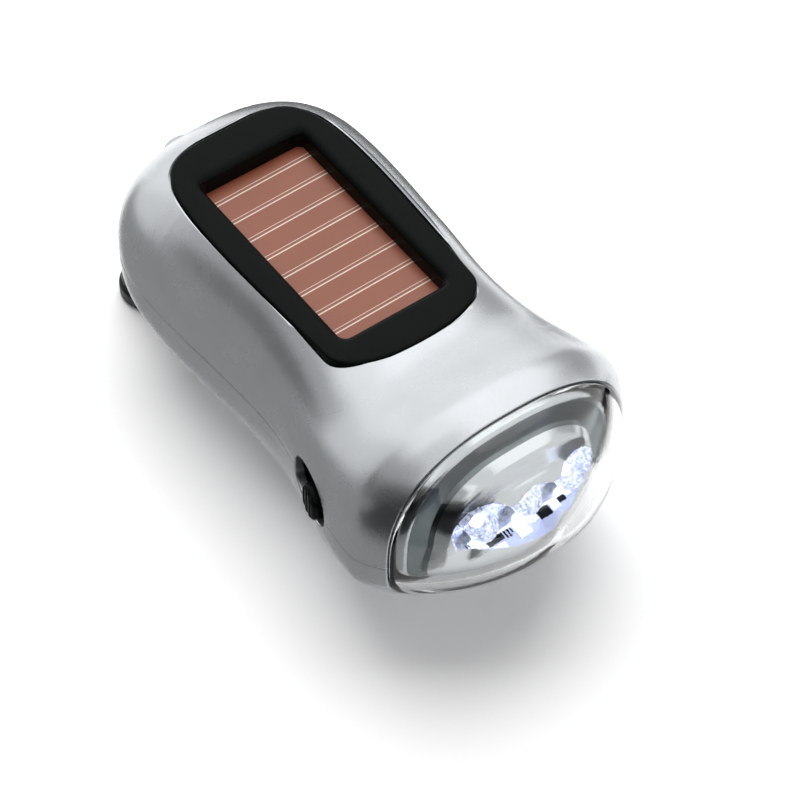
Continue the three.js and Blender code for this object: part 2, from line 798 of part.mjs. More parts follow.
function lamp(x) {
  const shoulder = lampLength - lampRadius;
  const profile = [
    [0, 0],
    [lampRadius + lampFlange, 0],
    [lampRadius + lampFlange, overrun],
    [lampRadius, overrun],
    [lampRadius, shoulder],
    [lampRadius * Math.cos(Math.PI / 6), shoulder + lampRadius / 2],
    [lampRadius / 2, shoulder + lampRadius * Math.cos(Math.PI / 6)],
    [0, lampLength],
  ];
  const body = solidOf(turned(profile, lampSides).rotateX(Math.PI / 2).translate(0, lampBase, lampHeight));
  const leads = [-lampLeadPitch / 2, lampLeadPitch / 2].map((offset) =>
    solidBlock(
      [offset - lampLead / 2, lampBase - overrun / 2, lampHeight - lampLead / 2],
      [offset + lampLead / 2, lampBase + lampLeadLength, lampHeight + lampLead / 2],
    ),
  );
  return geometryOf(joined([body, ...leads])).translate(x, 0, 0);
}
["left", "middle", "right"].forEach((place, i) => {
  piece("lamp_" + place, lamp(lampOffsets[i]), lampResin);
});

function lampBoard() {
  const board = solidBlock(
    [-lampBoardHalfWidth, lampBoardFront, lampHeight - lampBoardHalfHeight],
    [lampBoardHalfWidth, lampBoardFront + boardThickness, lampHeight + lampBoardHalfHeight],
  );
  const through = (radius, x) =>
    solidOf(column(radius, -reach, reach).rotateX(Math.PI / 2).translate(x, 0, lampHeight));
  const leadHoles = lampOffsets.flatMap((x) =>
    [-lampLeadPitch / 2, lampLeadPitch / 2].map((offset) => through(lampLead, x + offset)),
  );
  const pegHoles = [-pegOffset, pegOffset].map((x) => through(pegRadius + pinGap, x));
  return cutBy(board, [...leadHoles, ...pegHoles]);
}
piece("lamp_board", geometryOf(lampBoard()), boardLaminate);

// Slide switch
function slider() {
  const outline = roundedRectangle(
    -sliderHalfLength,
    sliderHalfLength,
    -sliderHalfHeight,
    sliderHalfHeight,
    sliderCorner,
  );
  const button = prism(outline, 0, sliderPlateNear + sliderProud + pinGap);
  button.rotateX(Math.PI / 2).rotateZ(-Math.PI / 2).translate(sliderPlateNear + pinGap, 0, 0);
  const plateOutline = roundedRectangle(
    -sliderPlateHalfLength,
    sliderPlateHalfLength,
    -sliderPlateHalfHeight,
    sliderPlateHalfHeight,
    sliderCorner,
  );
  const plate = prism(plateOutline, 0, sliderPlate);
  plate.rotateX(Math.PI / 2).rotateZ(-Math.PI / 2).translate(sliderPlateFar, 0, 0);
  const forks = [-1, 1].map((side) => {
    const near = side * (leverHalf + seatGap);
    const far = near + side * forkReach * 2;
    return solidBlock(
      [sliderPlateFar - pinGap, Math.min(near, far), -leverHalf],
      [sliderPlateFar + forkReach, Math.max(near, far), leverHalf],
    );
  });
  const grooves = [-1, 0, 1].map((step) =>
    solidBlock(
      [-sliderProud - overrun, (step * sliderHalfLength) / 2 - ribDepth / 2, -reach],
      [-sliderProud + ribDepth, (step * sliderHalfLength) / 2 + ribDepth / 2, reach],
    ),
  );
  return cutBy(joined([solidOf(plate), solidOf(button), ...forks]), grooves);
}
const sliderMesh = piece("switch_slider", geometryOf(slider()), blackPlastic, switchFrame);
sliderMesh.position.y = sliderRestOffset;
const lever = blockBetween(
  [sliderPlateFar + pinGap, -leverHalf, -leverHalf],
  [sliderPlateFar + pinGap + leverLength, leverHalf, leverHalf],
);
piece("switch_lever", lever, blackPlastic, switchFrame).position.y = sliderRestOffset;

function switchBody() {
  const body = solidBlock(
    [switchBodyNear, -switchBodyHalfLength, -switchBodyHalfHeight],
    [switchBodyFar, switchBodyHalfLength, switchBodyHalfHeight],
  );
  const slotNear = sliderRestOffset - leverHalf - seatGap;
  const slotFar = sliderRestOffset + switchTravel + leverHalf + seatGap;
  const half = leverHalf + seatGap;
  const depth = sliderPlateFar + 2 * pinGap + leverLength + seatGap;
  return body.subtract(solidBlock([0, slotNear, -half], [depth, slotFar, half]));
}
piece("switch_body", geometryOf(switchBody()), canSteel, switchFrame);
piece("switch_board", switchBoardBox(0), boardLaminate, switchFrame);

// Crank: a hub with a slot, a folding arm, and a knob that turns on a rivet
const crankFrame = new THREE.Group();
crankFrame.position.set(0, crankStation, 0);
crankFrame.rotation.z = stowAngle;
flashlight.add(crankFrame);
const hingeHeight = armThickness / 2;
const shaftTop = driveTop - pinGap;

const lyingPin = (radius, length) =>
  column(radius, -length / 2, length / 2).rotateY(Math.PI / 2).translate(0, 0, hingeHeight);

function crankHub() {
  const edge = hubEdgeRound * (1 - Math.SQRT1_2);
  const disc = turned([
    [0, 0],
    [hubRadius - hubEdgeRound, 0],
    [hubRadius - edge, edge],
    [hubRadius, hubEdgeRound],
    [hubRadius, hubTop],
    [shaftRadius, hubTop],
    [shaftRadius, shaftTop],
    [0, shaftTop],
  ]);
  const slotHalf = armHalfWidth + slotGap;
  const flat = solidBlock([shaftFlat, -reach, driveBottom - gearRun], [reach, reach, reach]);
  return cutBy(solidOf(disc), [
    solidBlock([-slotHalf, -reach, -overrun], [slotHalf, reach, armThickness + slotGap]),
    solidOf(lyingPin(hingePinRadius + pinGap, reach)),
    solidColumn(screwRadius + pinGap, hubTop, reach),
    flat.intersect(solidColumn(2 * shaftRadius, hubTop, reach)),
  ]);
}
piece("crank_hub", geometryOf(crankHub()), crankPlastic, crankFrame);
piece("hinge_pin", lyingPin(hingePinRadius, hingePinLength), pinSteel, crankFrame);

function armShape() {
  const shape = new THREE.Shape();
  const run = crankRadius - armHalfWidth;
  shape.moveTo(armHalfWidth, 0);
  shape.lineTo(armHalfWidth, hubRadius);
  shape.quadraticCurveTo(armWaistHalfWidth, hubRadius + armHalfWidth, armWaistHalfWidth, run / 2);
  shape.quadraticCurveTo(armWaistHalfWidth, run - armHalfWidth, armHalfWidth, crankRadius);
  shape.absarc(0, crankRadius, armHalfWidth, 0, Math.PI / 2);
  shape.absarc(0, crankRadius, armHalfWidth, Math.PI / 2, Math.PI);
  shape.quadraticCurveTo(-armWaistHalfWidth, run - armHalfWidth, -armWaistHalfWidth, run / 2);
  shape.quadraticCurveTo(-armWaistHalfWidth, hubRadius + armHalfWidth, -armHalfWidth, hubRadius);
  shape.lineTo(-armHalfWidth, 0);
  shape.closePath();
  return shape;
}

function crankArm() {
  const blade = solidOf(softPrism(armShape(), 0, armThickness, armEdgeRound, arcSteps));
  const past = blade.subtract(solidBlock([-reach, -reach, -reach], [reach, pinGap, reach]));
  const knuckle = solidOf(lyingPin(hingeHeight, 2 * (armHalfWidth - armEdgeRound)));
  const atKnob = [0, crankRadius, rivetSides];
  return cutBy(past.add(knuckle), [
    solidOf(lyingPin(hingePinRadius + pinGap, reach)),
    solidColumn(rivetRadius + pinGap, -overrun, reach, ...atKnob),
    solidColumn(rivetHeadRadius + seatGap, -overrun, rivetHeadThickness + 2 * pinGap, ...atKnob),
  ]);
}
piece("crank_arm", geometryOf(crankArm()), crankPlastic, crankFrame);

const headPocket = rivetHeadThickness + pinGap;
const knobProfile = [
  [rivetRadius + pinGap, knobBottom],
  [knobRadius - knobWaist, knobBottom],
  [knobRadius, knobBottom + knobEdgeRound / 2],
  [knobRadius - knobWaist, knobBottom + knobHeight / 2],
  [knobRadius, knobTop - knobEdgeRound],
  [knobRadius - knobEdgeRound / 3, knobTop - knobEdgeRound / 3],
  [knobRadius - knobEdgeRound, knobTop],
  [rivetHeadRadius + seatGap, knobTop],
  [rivetHeadRadius + seatGap, knobTop - headPocket],
  [rivetRadius + pinGap, knobTop - headPocket],
  [rivetRadius + pinGap, knobBottom],
];
piece("crank_knob", turned(knobProfile, cupSides).translate(0, crankRadius, 0), crankPlastic, crankFrame);
const rivetProfile = [
  [0, pinGap],
  [rivetHeadRadius, pinGap],
  [rivetHeadRadius, pinGap + rivetHeadThickness],
  [rivetRadius, pinGap + rivetHeadThickness],
  [rivetRadius, knobTop - rivetHeadThickness],
  [rivetHeadRadius, knobTop - rivetHeadThickness],
  [rivetHeadRadius, knobTop - pinGap],
  [0, knobTop - pinGap],
];
const rivet = turned(rivetProfile, rivetSides).translate(0, crankRadius, 0);
piece("knob_rivet", rivet, pinSteel, crankFrame);

// Bush in the floor, and the drive gear on the flat of the crank's shaft
const bushBore = shaftRadius + pinGap;
const bushOuter = bushBore + bushWall;
const bush = turned([
  [bushBore, recessTop],
  [bushOuter, recessTop],
  [bushOuter, floorTop + pinGap],
  [bushOuter + bushFlangeWidth, floorTop + pinGap],
  [bushOuter + bushFlangeWidth, bushTop],
  [bushBore, bushTop],
  [bushBore, recessTop],
], cupSides);
piece("crank_bush", bush.translate(0, crankStation, 0), bushBronze);

const involute = (angle) => Math.tan(angle) - angle;
const pressureAngle = Math.PI / 9;

// A spur gear's outline, with a tooth centred on the given direction
function gearShape(teeth, direction, flankSteps) {
  const pitch = pitchRadius(teeth);
  const base = pitch * Math.cos(pressureAngle);
  const root = pitch - gearModule * dedendumShare;
  const tip = pitch + gearModule * addendumShare;
  const lowest = Math.max(root, base);
  const halfTooth = Math.PI / (2 * teeth) - gearBacklash / (2 * pitch);
  const flank = [[root, null]];
  for (let i = 0; i <= flankSteps; i += 1) flank.push([lowest + ((tip - lowest) * i) / flankSteps, null]);
  const points = flank.slice(root < base ? 0 : 1).map(([radius]) => {
    const slope = radius > base ? involute(Math.acos(base / radius)) : 0;
    return [radius, halfTooth + involute(pressureAngle) - slope];
  });
  const outline = [];
  for (let tooth = 0; tooth < teeth; tooth += 1) {
    const centre = direction + (2 * Math.PI * tooth) / teeth;
    const rising = points.map(([radius, angle]) => [radius, centre - angle]);
    const falling = [...points].reverse().map(([radius, angle]) => [radius, centre + angle]);
    for (const [radius, angle] of [...rising, ...falling]) {
      outline.push(new THREE.Vector2(radius * Math.cos(angle), radius * Math.sin(angle)));
    }
  }
  return new THREE.Shape(outline);
}

const gearSolid = (teeth, direction, bottom, top, flankSteps = 1) =>
  solidOf(prism(gearShape(teeth, direction, flankSteps), bottom, top));
const towardTail = Math.PI / 2;
const towardHead = -Math.PI / 2;
const halfPitch = (teeth) => Math.PI / teeth;

function driveGear() {
  const bore = shaftRadius + pinGap;
  const flat = solidBlock([-reach, -reach, 0], [shaftFlat + pinGap, reach, reach]);
  const keyed = solidOf(column(bore, 0, reach, 0, 0, roundSides)).intersect(flat);
  const turnedKey = solidOf(geometryOf(keyed).rotateZ(stowAngle));
  return gearSolid(wheelTeeth, towardHead, driveBottom, driveTop).subtract(turnedKey);
}
piece("drive_gear", geometryOf(driveGear()).translate(0, crankStation, 0), gearPlastic);
const hubScrewSizes = [driveTop + pinGap, driveTop - hubTop - pinGap, 0, crankStation];
piece("hub_screw", screwGeometry(...hubScrewSizes, false, hubScrewHeadRadius), pinSteel);

// Each compound gear is a pinion below or beside a wheel on one sleeve
function compoundGear(wheel, pinion) {
  const whole = joined([wheel, pinion]);
  return whole.subtract(solidColumn(axleRadius + pinGap, 0, reach, 0, 0, rivetSides));
}

function lowerCompound() {
  const direction = towardTail + halfPitch(pinionTeeth);
  const pinion = gearSolid(pinionTeeth, direction, driveBottom, driveTop + gearRun);
  const sleeveRadius = pitchRadius(pinionTeeth) - gearModule;
  const sleeve = solidColumn(sleeveRadius, driveTop, wheelTop, 0, 0, rivetSides);
  const wheel = gearSolid(wheelTeeth, towardTail, wheelBottom, wheelTop);
  return compoundGear(wheel, pinion.add(sleeve)).translate([0, axleStation, 0]);
}

function upperCompound() {
  const direction = towardHead + halfPitch(pinionTeeth);
  const pinion = gearSolid(pinionTeeth, direction, wheelBottom, upperPinionTop + pinGap);
  const wheel = gearSolid(upperWheelTeeth, towardTail, upperPinionTop, upperWheelTop);
  return compoundGear(wheel, pinion).translate([0, crankStation, 0]);
}
piece("lower_compound_gear", geometryOf(lowerCompound()), gearPlastic);
piece("upper_compound_gear", geometryOf(upperCompound()), gearPlastic);
const lowerAxle = column(axleRadius, bellyHeight + wall + pinGap, plateTop, 0, axleStation);
piece("lower_axle", lowerAxle, pinSteel);
const upperAxle = turned([
  [0, wheelBottom - gearRun - axleHead],
  [axleHeadRadius, wheelBottom - gearRun - axleHead],
  [axleHeadRadius, wheelBottom - gearRun],
  [axleRadius, wheelBottom - gearRun],
  [axleRadius, plateTop],
  [0, plateTop],
], pinSides);
piece("upper_axle", upperAxle.translate(0, crankStation, 0), pinSteel);

const chargeBoardBottom = plateTop + standoffHeight + pinGap;
const chargeBoardTop = chargeBoardBottom + boardThickness;
const boardRear = boardFront + boardLength;
const standoffPlaces = [boardFront + standoffInset, boardRear - standoffInset].flatMap((y) => [
  [-boardHalfWidth + standoffInset, y],
  [boardHalfWidth - standoffInset, y],
]);

// Gear plate: a padded outline round its posts and the generator's seat
function paddedOutline(corners, radius) {
  const shape = new THREE.Shape();
  corners.forEach(([x, y], i) => {
    const [beforeX, beforeY] = corners[(i + corners.length - 1) % corners.length];
    const [afterX, afterY] = corners[(i + 1) % corners.length];
    const from = Math.atan2(y - beforeY, x - beforeX) - Math.PI / 2;
    const to = Math.atan2(afterY - y, afterX - x) - Math.PI / 2;
    shape.absarc(x, y, radius, from, to < from ? to + 2 * Math.PI : to);
  });
  shape.closePath();
  return shape;
}

function gearPlate() {
  const seatCorner = rotorStation + canRadius - plateRim;
  const outline = paddedOutline(
    [
      [frontPostOffset, frontPostStation],
      [rearPostOffset, rearPostStation],
      [canRadius / 2, seatCorner],
      [-canRadius / 2, seatCorner],
      [-rearPostOffset, rearPostStation],
      [-frontPostOffset, frontPostStation],
    ],
    plateRim,
  );
  const holes = [
    [axleRadius, 0, axleStation],
    [axleRadius, 0, crankStation],
    [2 * rotorShaftRadius, 0, rotorStation],
    ...posts.map(([x, y]) => [screwRadius, x, y]),
  ].map(([radius, x, y]) => solidColumn(radius + pinGap, 0, reach, x, y));
  const standoffs = standoffPlaces.flatMap(([x, y]) => [
    solidColumn(standoffRadius, plateBottom, plateTop + standoffHeight, x, y),
    solidColumn(standoffPegRadius, plateBottom, chargeBoardTop + pinGap, x, y),
  ]);
  const plate = solidOf(prism(outline, plateBottom, plateTop));
  const notch = inSwitchFrame(switchBoardBox(seatGap));
  return cutBy(joined([plate, ...standoffs]), [...holes, notch]);
}
piece("gear_plate", geometryOf(gearPlate()), gearPlastic);
["rear_right", "rear_left", "front_left", "front_right"].forEach((place, i) => {
  const [x, y] = posts[i];
  const screw = screwGeometry(plateTop + pinGap, plateScrewLength - 2 * pinGap, x, y, false);
  piece("plate_screw_" + place, screw, pinSteel);
});

function chargeBoard() {
  const board = solidBlock(
    [-boardHalfWidth, boardFront, chargeBoardBottom],
    [boardHalfWidth, boardRear, chargeBoardTop],
  );
  const holes = standoffPlaces.map(([x, y]) => solidColumn(standoffPegRadius + pinGap, 0, reach, x, y));
  return cutBy(board, holes);
}
piece("charge_board", geometryOf(chargeBoard()), boardLaminate);

function rectifier() {
  const [width, length, height] = rectifierSize;
  const body = solidBlock([-width / 2, -length / 2, rectifierLeg], [width / 2, length / 2, height]);
  const legs = [-width / 4, width / 4].map((x) =>
    solidBlock(
      [x - rectifierLeg / 2, -length / 2 - rectifierLegReach, 0],
      [x + rectifierLeg / 2, length / 2 + rectifierLegReach, 2 * rectifierLeg],
    ),
  );
  return joined([body, ...legs]);
}
const componentHeight = chargeBoardTop + pinGap;
const componentStation = boardFront + boardLength / 2;
piece("rectifier", geometryOf(rectifier()), blackPlastic).position.set(
  boardHalfWidth / 2,
  componentStation,
  componentHeight,
);

function capacitor() {
  const can = solidOf(
    turned(
      [
        [0, 0],
        [capacitorRadius, 0],
        [capacitorRadius, capacitorHeight - capacitorRound],
        [capacitorRadius - capacitorRound, capacitorHeight],
        [0, capacitorHeight],
      ],
      cupSides,
    ),
  );
  const half = capacitorRadius + capacitorRound;
  return can.add(solidBlock([-half, -half, 0], [half, half, capacitorBase]));
}
piece("smoothing_capacitor", geometryOf(capacitor()), canSteel).position.set(
  -boardHalfWidth / 2,
  componentStation,
  componentHeight,
);

// Generator: a can with magnets inside, closed by a cap, and a wound armature on the shaft
const canBottom = plateTop + pinGap;
const canTop = canBottom + canHeight;
const can = turned([
  [canRadius - canWall, canBottom],
  [canRadius, canBottom],
  [canRadius, canTop],
  [0, canTop],
  [0, canTop - canWall],
  [canRadius - canWall, canTop - canWall],
  [canRadius - canWall, canBottom],
]);
piece("generator_can", can.translate(0, rotorStation, 0), canSteel);
const capOuter = canRadius - canWall - pinGap;
const endCap = turned([
  [rotorShaftRadius + pinGap, canBottom],
  [capOuter, canBottom],
  [capOuter, canBottom + endCapThickness],
  [rotorShaftRadius + pinGap, canBottom + endCapThickness],
  [rotorShaftRadius + pinGap, canBottom],
], cupSides);
piece("generator_cap", endCap.translate(0, rotorStation, 0), blackPlastic);

const magnetBottom = canBottom + endCapThickness + pinGap;
function magnetShape(middle) {
  const half = THREE.MathUtils.degToRad(magnetSpan) / 2;
  const outer = canRadius - canWall - pinGap;
  const shape = new THREE.Shape();
  shape.absarc(0, 0, outer, middle - half, middle + half);
  shape.absarc(0, 0, outer - magnetThickness, middle + half, middle - half, true);
  shape.closePath();
  return shape;
}
[["left", Math.PI], ["right", 0]].forEach(([place, middle]) => {
  const magnet = prism(magnetShape(middle), magnetBottom, magnetBottom + magnetHeight);
  piece("magnet_" + place, magnet.translate(0, rotorStation, 0), magnetFerrite);
});

function armature() {
  const bottom = magnetBottom + (magnetHeight - armatureHeight) / 2;
  const top = bottom + armatureHeight;
  const shaft = solidColumn(rotorShaftRadius, upperPinionTop, canTop - canWall - pinGap, 0, 0);
  const hub = solidColumn(armatureHub, bottom, top, 0, 0);
  const arms = Array.from({ length: poles }, (_, i) => {
    const angle = (2 * Math.PI * i) / poles;
    const half = Math.PI / poles - poleHalfWidth / armatureRadius;
    const armReach = armatureRadius - poleShoe / 2;
    const arm = blockBetween([0, -poleHalfWidth, bottom], [armReach, poleHalfWidth, top]);
    const shoe = new THREE.Shape();
    shoe.absarc(0, 0, armatureRadius, -half, half);
    shoe.absarc(0, 0, armatureRadius - poleShoe, half, -half, true);
    shoe.closePath();
    return joined([solidOf(arm.rotateZ(angle)), solidOf(prism(shoe, bottom, top).rotateZ(angle))]);
  });
  return joined([shaft, hub, ...arms]);
}
piece("armature", geometryOf(armature()).translate(0, rotorStation, 0), copperWinding);

function rotorPinion() {
  const top = upperWheelTop + gearRun;
  const direction = towardHead + halfPitch(pinionTeeth);
  const gear = gearSolid(pinionTeeth, direction, upperPinionTop + pinGap, top);
  return gear.subtract(solidColumn(rotorShaftRadius + pinGap / 2, 0, reach));
}
piece("rotor_pinion", geometryOf(rotorPinion()).translate(0, rotorStation, 0), gearPlastic);

// Battery: button cells in a row across the tail, with a welded tab at each end
const batteryHalfLength = (batteryCells * batteryCellLength) / 2;
[["left", -1], ["right", 1]].forEach(([place, side]) => {
  const near = side * (batteryHalfLength + pinGap);
  const far = near + side * tabThickness;
  const tab = blockBetween(
    [Math.min(near, far), -tabHalfWidth, -tabHalfWidth],
    [Math.max(near, far), tabHalfWidth, tabRise],
  );
  piece("battery_tab_" + place, tab.translate(0, batteryStation, batteryHeight), pinSteel);
});
for (let i = 0; i < batteryCells; i += 1) {
  const middle = (i - (batteryCells - 1) / 2) * batteryCellLength;
  const half = batteryCellLength / 2 - pinGap;
  const cell = column(batteryRadius, middle - half, middle + half, 0, 0, cupSides);
  cell.rotateY(Math.PI / 2).translate(0, batteryStation, batteryHeight);
  piece("battery_cell_" + (i + 1), cell, batterySleeve);
}

export default flashlight;
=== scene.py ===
# %% [markdown]
# # A hand crank flashlight, part by part
# The torch fits in a palm: two silver painted shells, a black bezel round a solar cell, a clear
# dome in front of three lamps and a black crank folded under the belly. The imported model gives
# the frame, and each cell below dresses one of its pieces.

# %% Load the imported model
import json
import math

import bmesh
import bpy
import numpy as np
from mathutils import Matrix, Vector


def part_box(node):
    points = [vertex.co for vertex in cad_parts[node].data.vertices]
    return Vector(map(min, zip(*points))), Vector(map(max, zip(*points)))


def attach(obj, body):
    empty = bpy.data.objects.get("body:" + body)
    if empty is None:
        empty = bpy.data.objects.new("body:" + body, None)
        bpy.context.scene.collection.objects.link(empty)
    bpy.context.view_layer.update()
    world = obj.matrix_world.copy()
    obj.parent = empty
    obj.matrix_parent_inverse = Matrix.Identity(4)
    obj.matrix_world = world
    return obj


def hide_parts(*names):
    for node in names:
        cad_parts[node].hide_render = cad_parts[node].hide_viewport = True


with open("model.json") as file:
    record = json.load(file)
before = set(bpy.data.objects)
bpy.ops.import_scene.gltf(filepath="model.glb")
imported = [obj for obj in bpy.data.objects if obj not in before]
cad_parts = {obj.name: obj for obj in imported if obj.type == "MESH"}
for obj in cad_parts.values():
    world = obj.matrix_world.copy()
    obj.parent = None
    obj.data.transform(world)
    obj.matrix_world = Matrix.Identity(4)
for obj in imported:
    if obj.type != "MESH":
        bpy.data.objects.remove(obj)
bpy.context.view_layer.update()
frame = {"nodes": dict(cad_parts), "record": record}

MM = 0.001

# %% [markdown]
# ## The camera
# The photograph looks down on the torch from its left front corner, through a long lens. A long
# focal length at nearly 0.6 m keeps the two long sides of the body almost parallel, as they are
# in the picture. The camera has no roll, so two angles and a distance place it.

# %% Camera
camera_data = bpy.data.cameras.new("studio_camera")
camera_data.lens = 160.55
camera_data.sensor_width = 36
camera = bpy.data.objects.new("studio_camera", camera_data)
bpy.context.scene.collection.objects.link(camera)
camera.location = (-0.21824, -0.31351, 0.47997)
camera_azimuth = math.radians(-35.95)
camera_elevation = math.radians(51.13)
camera.rotation_euler = (math.pi / 2 - camera_elevation, 0, camera_azimuth)
bpy.context.scene.camera = camera
print("camera", round(camera.location.length, 3), "m from the origin")

# %% [markdown]
# ## Light and ground
# A product photograph like this one has a white sweep and a big soft box overhead. The world is
# plain white where it is looked at, mirrored or seen through glass, and dimmer as a light, so
# that colours stay as they are written. The lamps give light and shadow but don't show in
# reflections, where they would burn out on silver paint: the cards of a later cell do that job.

# %% World
def wire(tree, *links):
    """Join sockets in a node tree, each link given as node, output, node, input."""
    for source, output, target, socket in links:
        tree.links.new(source.outputs[output], target.inputs[socket])


def looked_at(tree):
    """A node that gives 1 to rays of the camera, in mirrors and through glass, and 0 to light."""
    path = tree.nodes.new("ShaderNodeLightPath")
    seen, shown = tree.nodes.new("ShaderNodeMath"), tree.nodes.new("ShaderNodeMath")
    seen.operation = shown.operation = "MAXIMUM"
    wire(tree, (path, "Is Camera Ray", seen, 0), (path, "Is Glossy Ray", seen, 1),
         (seen, 0, shown, 0), (path, "Is Transmission Ray", shown, 1))
    return shown


sky_light_level, sky_white_level = 0.26, 1.0
scene = bpy.context.scene
scene.view_settings.view_transform = "Standard"
scene.world = bpy.data.worlds.new("white_sweep")
scene.world.use_nodes = True
sky = scene.world.node_tree
sky.nodes.clear()
sky_mix = sky.nodes.new("ShaderNodeMixShader")
for socket, strength in ((1, sky_light_level), (2, sky_white_level)):
    sky_level = sky.nodes.new("ShaderNodeBackground")
    sky_level.inputs["Color"].default_value = (1, 1, 1, 1)
    sky_level.inputs["Strength"].default_value = strength
    wire(sky, (sky_level, 0, sky_mix, socket))
sky_out = sky.nodes.new("ShaderNodeOutputWorld")
wire(sky, (looked_at(sky), 0, sky_mix, "Fac"), (sky_mix, 0, sky_out, "Surface"))
print("world nodes:", len(sky.nodes))


# %% Lamps of the studio
def soft_box(name, place, target, size, power):
    """An area lamp that faces its target."""
    lamp_data = bpy.data.lights.new(name, "AREA")
    lamp_data.shape = "RECTANGLE"
    lamp_data.size, lamp_data.size_y = size
    lamp_data.energy = power
    lamp = bpy.data.objects.new(name, lamp_data)
    scene.collection.objects.link(lamp)
    lamp.location = place
    lamp.rotation_euler = (Vector(target) - Vector(place)).to_track_quat("-Z", "Y").to_euler()
    lamp.visible_glossy = False
    return lamp


body_middle = (0, 0, 0.025)
soft_box("overhead_box", (0.15, 0.20, 0.50), body_middle, (0.72, 0.60), 2.65)
soft_box("front_fill", (-0.55, -0.45, 0.60), body_middle, (0.35, 0.35), 0.25)


# %% [markdown]
# ## Tools for meshes
# Most pieces here are skins over rows of points. One helper turns points and faces into an
# object, one stitches a grid of rows, and one carves a solid out of another with the exact
# boolean, after which flat faces stay flat and rounded ones are shaded smooth.

# %% Mesh helpers
def add_piece(name, points, faces):
    """A mesh object with its faces pointing out and doubled points merged."""
    mesh = bpy.data.meshes.new(name)
    mesh.from_pydata([tuple(map(float, point)) for point in points], [], faces)
    shape = bmesh.new()
    shape.from_mesh(mesh)
    bmesh.ops.remove_doubles(shape, verts=shape.verts, dist=2e-3 * MM)
    bmesh.ops.dissolve_degenerate(shape, edges=shape.edges, dist=1e-3 * MM)
    bmesh.ops.recalc_face_normals(shape, faces=shape.faces)
    if shape.calc_volume(signed=True) < 0:
        bmesh.ops.reverse_faces(shape, faces=shape.faces)
    shape.to_mesh(mesh)
    shape.free()
    piece = bpy.data.objects.new(name, mesh)
    scene.collection.objects.link(piece)
    return piece


def grid_faces(rows, columns, start=0, around=False, flip=False):
    """Quads of a grid of points stored row by row; the columns can close round."""
    last = columns if around else columns - 1
    faces = []
    for row in range(rows - 1):
        for column in range(last):
            a = start + row * columns + column
            b = start + row * columns + (column + 1) % columns
            quad = (a, b, b + columns, a + columns)
            faces.append(quad[::-1] if flip else quad)
    return faces


def loop_stack(name, loops, closed=False):
    """A solid skin through loops of as many points each; open stacks get a cap at both ends."""
    count = len(loops[0])
    base = (len(loops) - 1) * count
    points = [point for loop in loops for point in loop]
    faces = grid_faces(len(loops), count, around=True)
    if closed:
        faces += [(base + i, base + (i + 1) % count, (i + 1) % count, i) for i in range(count)]
    else:
        faces += [tuple(range(count))[::-1], tuple(range(base, base + count))]
    return add_piece(name, points, faces)


def two_skins(name, outer, inner, around=False, side_faces=()):
    """An outer and an inner grid of points, joined along their first ring and by side faces."""
    rings, rows = outer.shape[:2]
    inside = rings * rows
    points = np.concatenate([outer.reshape(-1, 3), inner.reshape(-1, 3)])
    faces = grid_faces(rings, rows, 0, around) + grid_faces(rings, rows, inside, around, True)
    for row in range(rows if around else rows - 1):
        after = (row + 1) % rows
        faces.append((row, after, after + inside, row + inside))
    faces += [(a, b, b + inside, a + inside) for a, b in side_faces]
    return add_piece(name, points, faces)


def carve(piece, cutter, operation="DIFFERENCE"):
    """Cut one solid out of another, or join it on, and drop the cutter."""
    tool = piece.modifiers.new("carve", "BOOLEAN")
    tool.operation = operation
    tool.solver = "EXACT"
    tool.object = cutter
    bpy.context.view_layer.update()
    shown = piece.evaluated_get(bpy.context.evaluated_depsgraph_get())
    carved = bpy.data.meshes.new_from_object(shown)
    piece.modifiers.clear()
    old = piece.data
    piece.data = carved
    bpy.data.meshes.remove(old)
    bpy.data.objects.remove(cutter)
    return piece


def smooth(piece, angle=32):
    """Smooth shading that breaks at real edges, with flat faces weighted most."""
    mesh = piece.data
    mesh.shade_smooth()
    mesh.set_sharp_from_angle(angle=math.radians(angle))
    weight = piece.modifiers.new("flat_faces_first", "WEIGHTED_NORMAL")
    weight.keep_sharp = True
    return piece


def dress(piece, body, slot, material, *replaced):
    """Finish of a piece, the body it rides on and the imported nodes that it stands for."""
    piece.data.materials.clear()
    piece.data.materials.append(material)
    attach(piece, body)
    if replaced:
        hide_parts(*replaced)
    return piece


def turned(name, profile, sides=64, axis="Z", place=(0, 0, 0), closed=False):
    """A solid turned from (radius, height) points, round an upright or a lying axis."""
    loops = []
    for radius, height in profile:
        loop = []
        for i in range(sides):
            angle = 2 * math.pi * i / sides
            across, beside = radius * math.cos(angle), radius * math.sin(angle)
            point = (across, beside, height) if axis == "Z" else (across, height, beside)
            loop.append(Vector(place) + Vector(point))
        loops.append(loop)
    return loop_stack(name, loops, closed)


def rod(name, radius, low, high, sides, axis="Z", place=(0, 0, 0)):
    """A plain round bar between two heights."""
    return turned(name, [(0, low), (radius, low), (radius, high), (0, high)], sides, axis, place)


def quarter(radius, degrees):
    """Run and fall of a quarter round at each angle: at 0 it has no run, at 90 no fall."""
    turns = np.radians(degrees)
    return list(zip(radius * (1 - np.cos(turns)), radius * (1 - np.sin(turns))))


def level(outline, height):
    """Points of an outline at one height, or at a height each."""
    x, y = outline
    return np.stack([x, y, np.broadcast_to(height, x.shape)], axis=-1)


def block(name, low, high):
    """A box shaped cutter between two corners."""
    ring = [(low[0], low[1]), (high[0], low[1]), (high[0], high[1]), (low[0], high[1])]
    return loop_stack(name, [[(x, y, z) for x, y in ring] for z in (low[2], high[2])])


square_corners = ((-1, -1), (1, -1), (1, 1), (-1, 1))


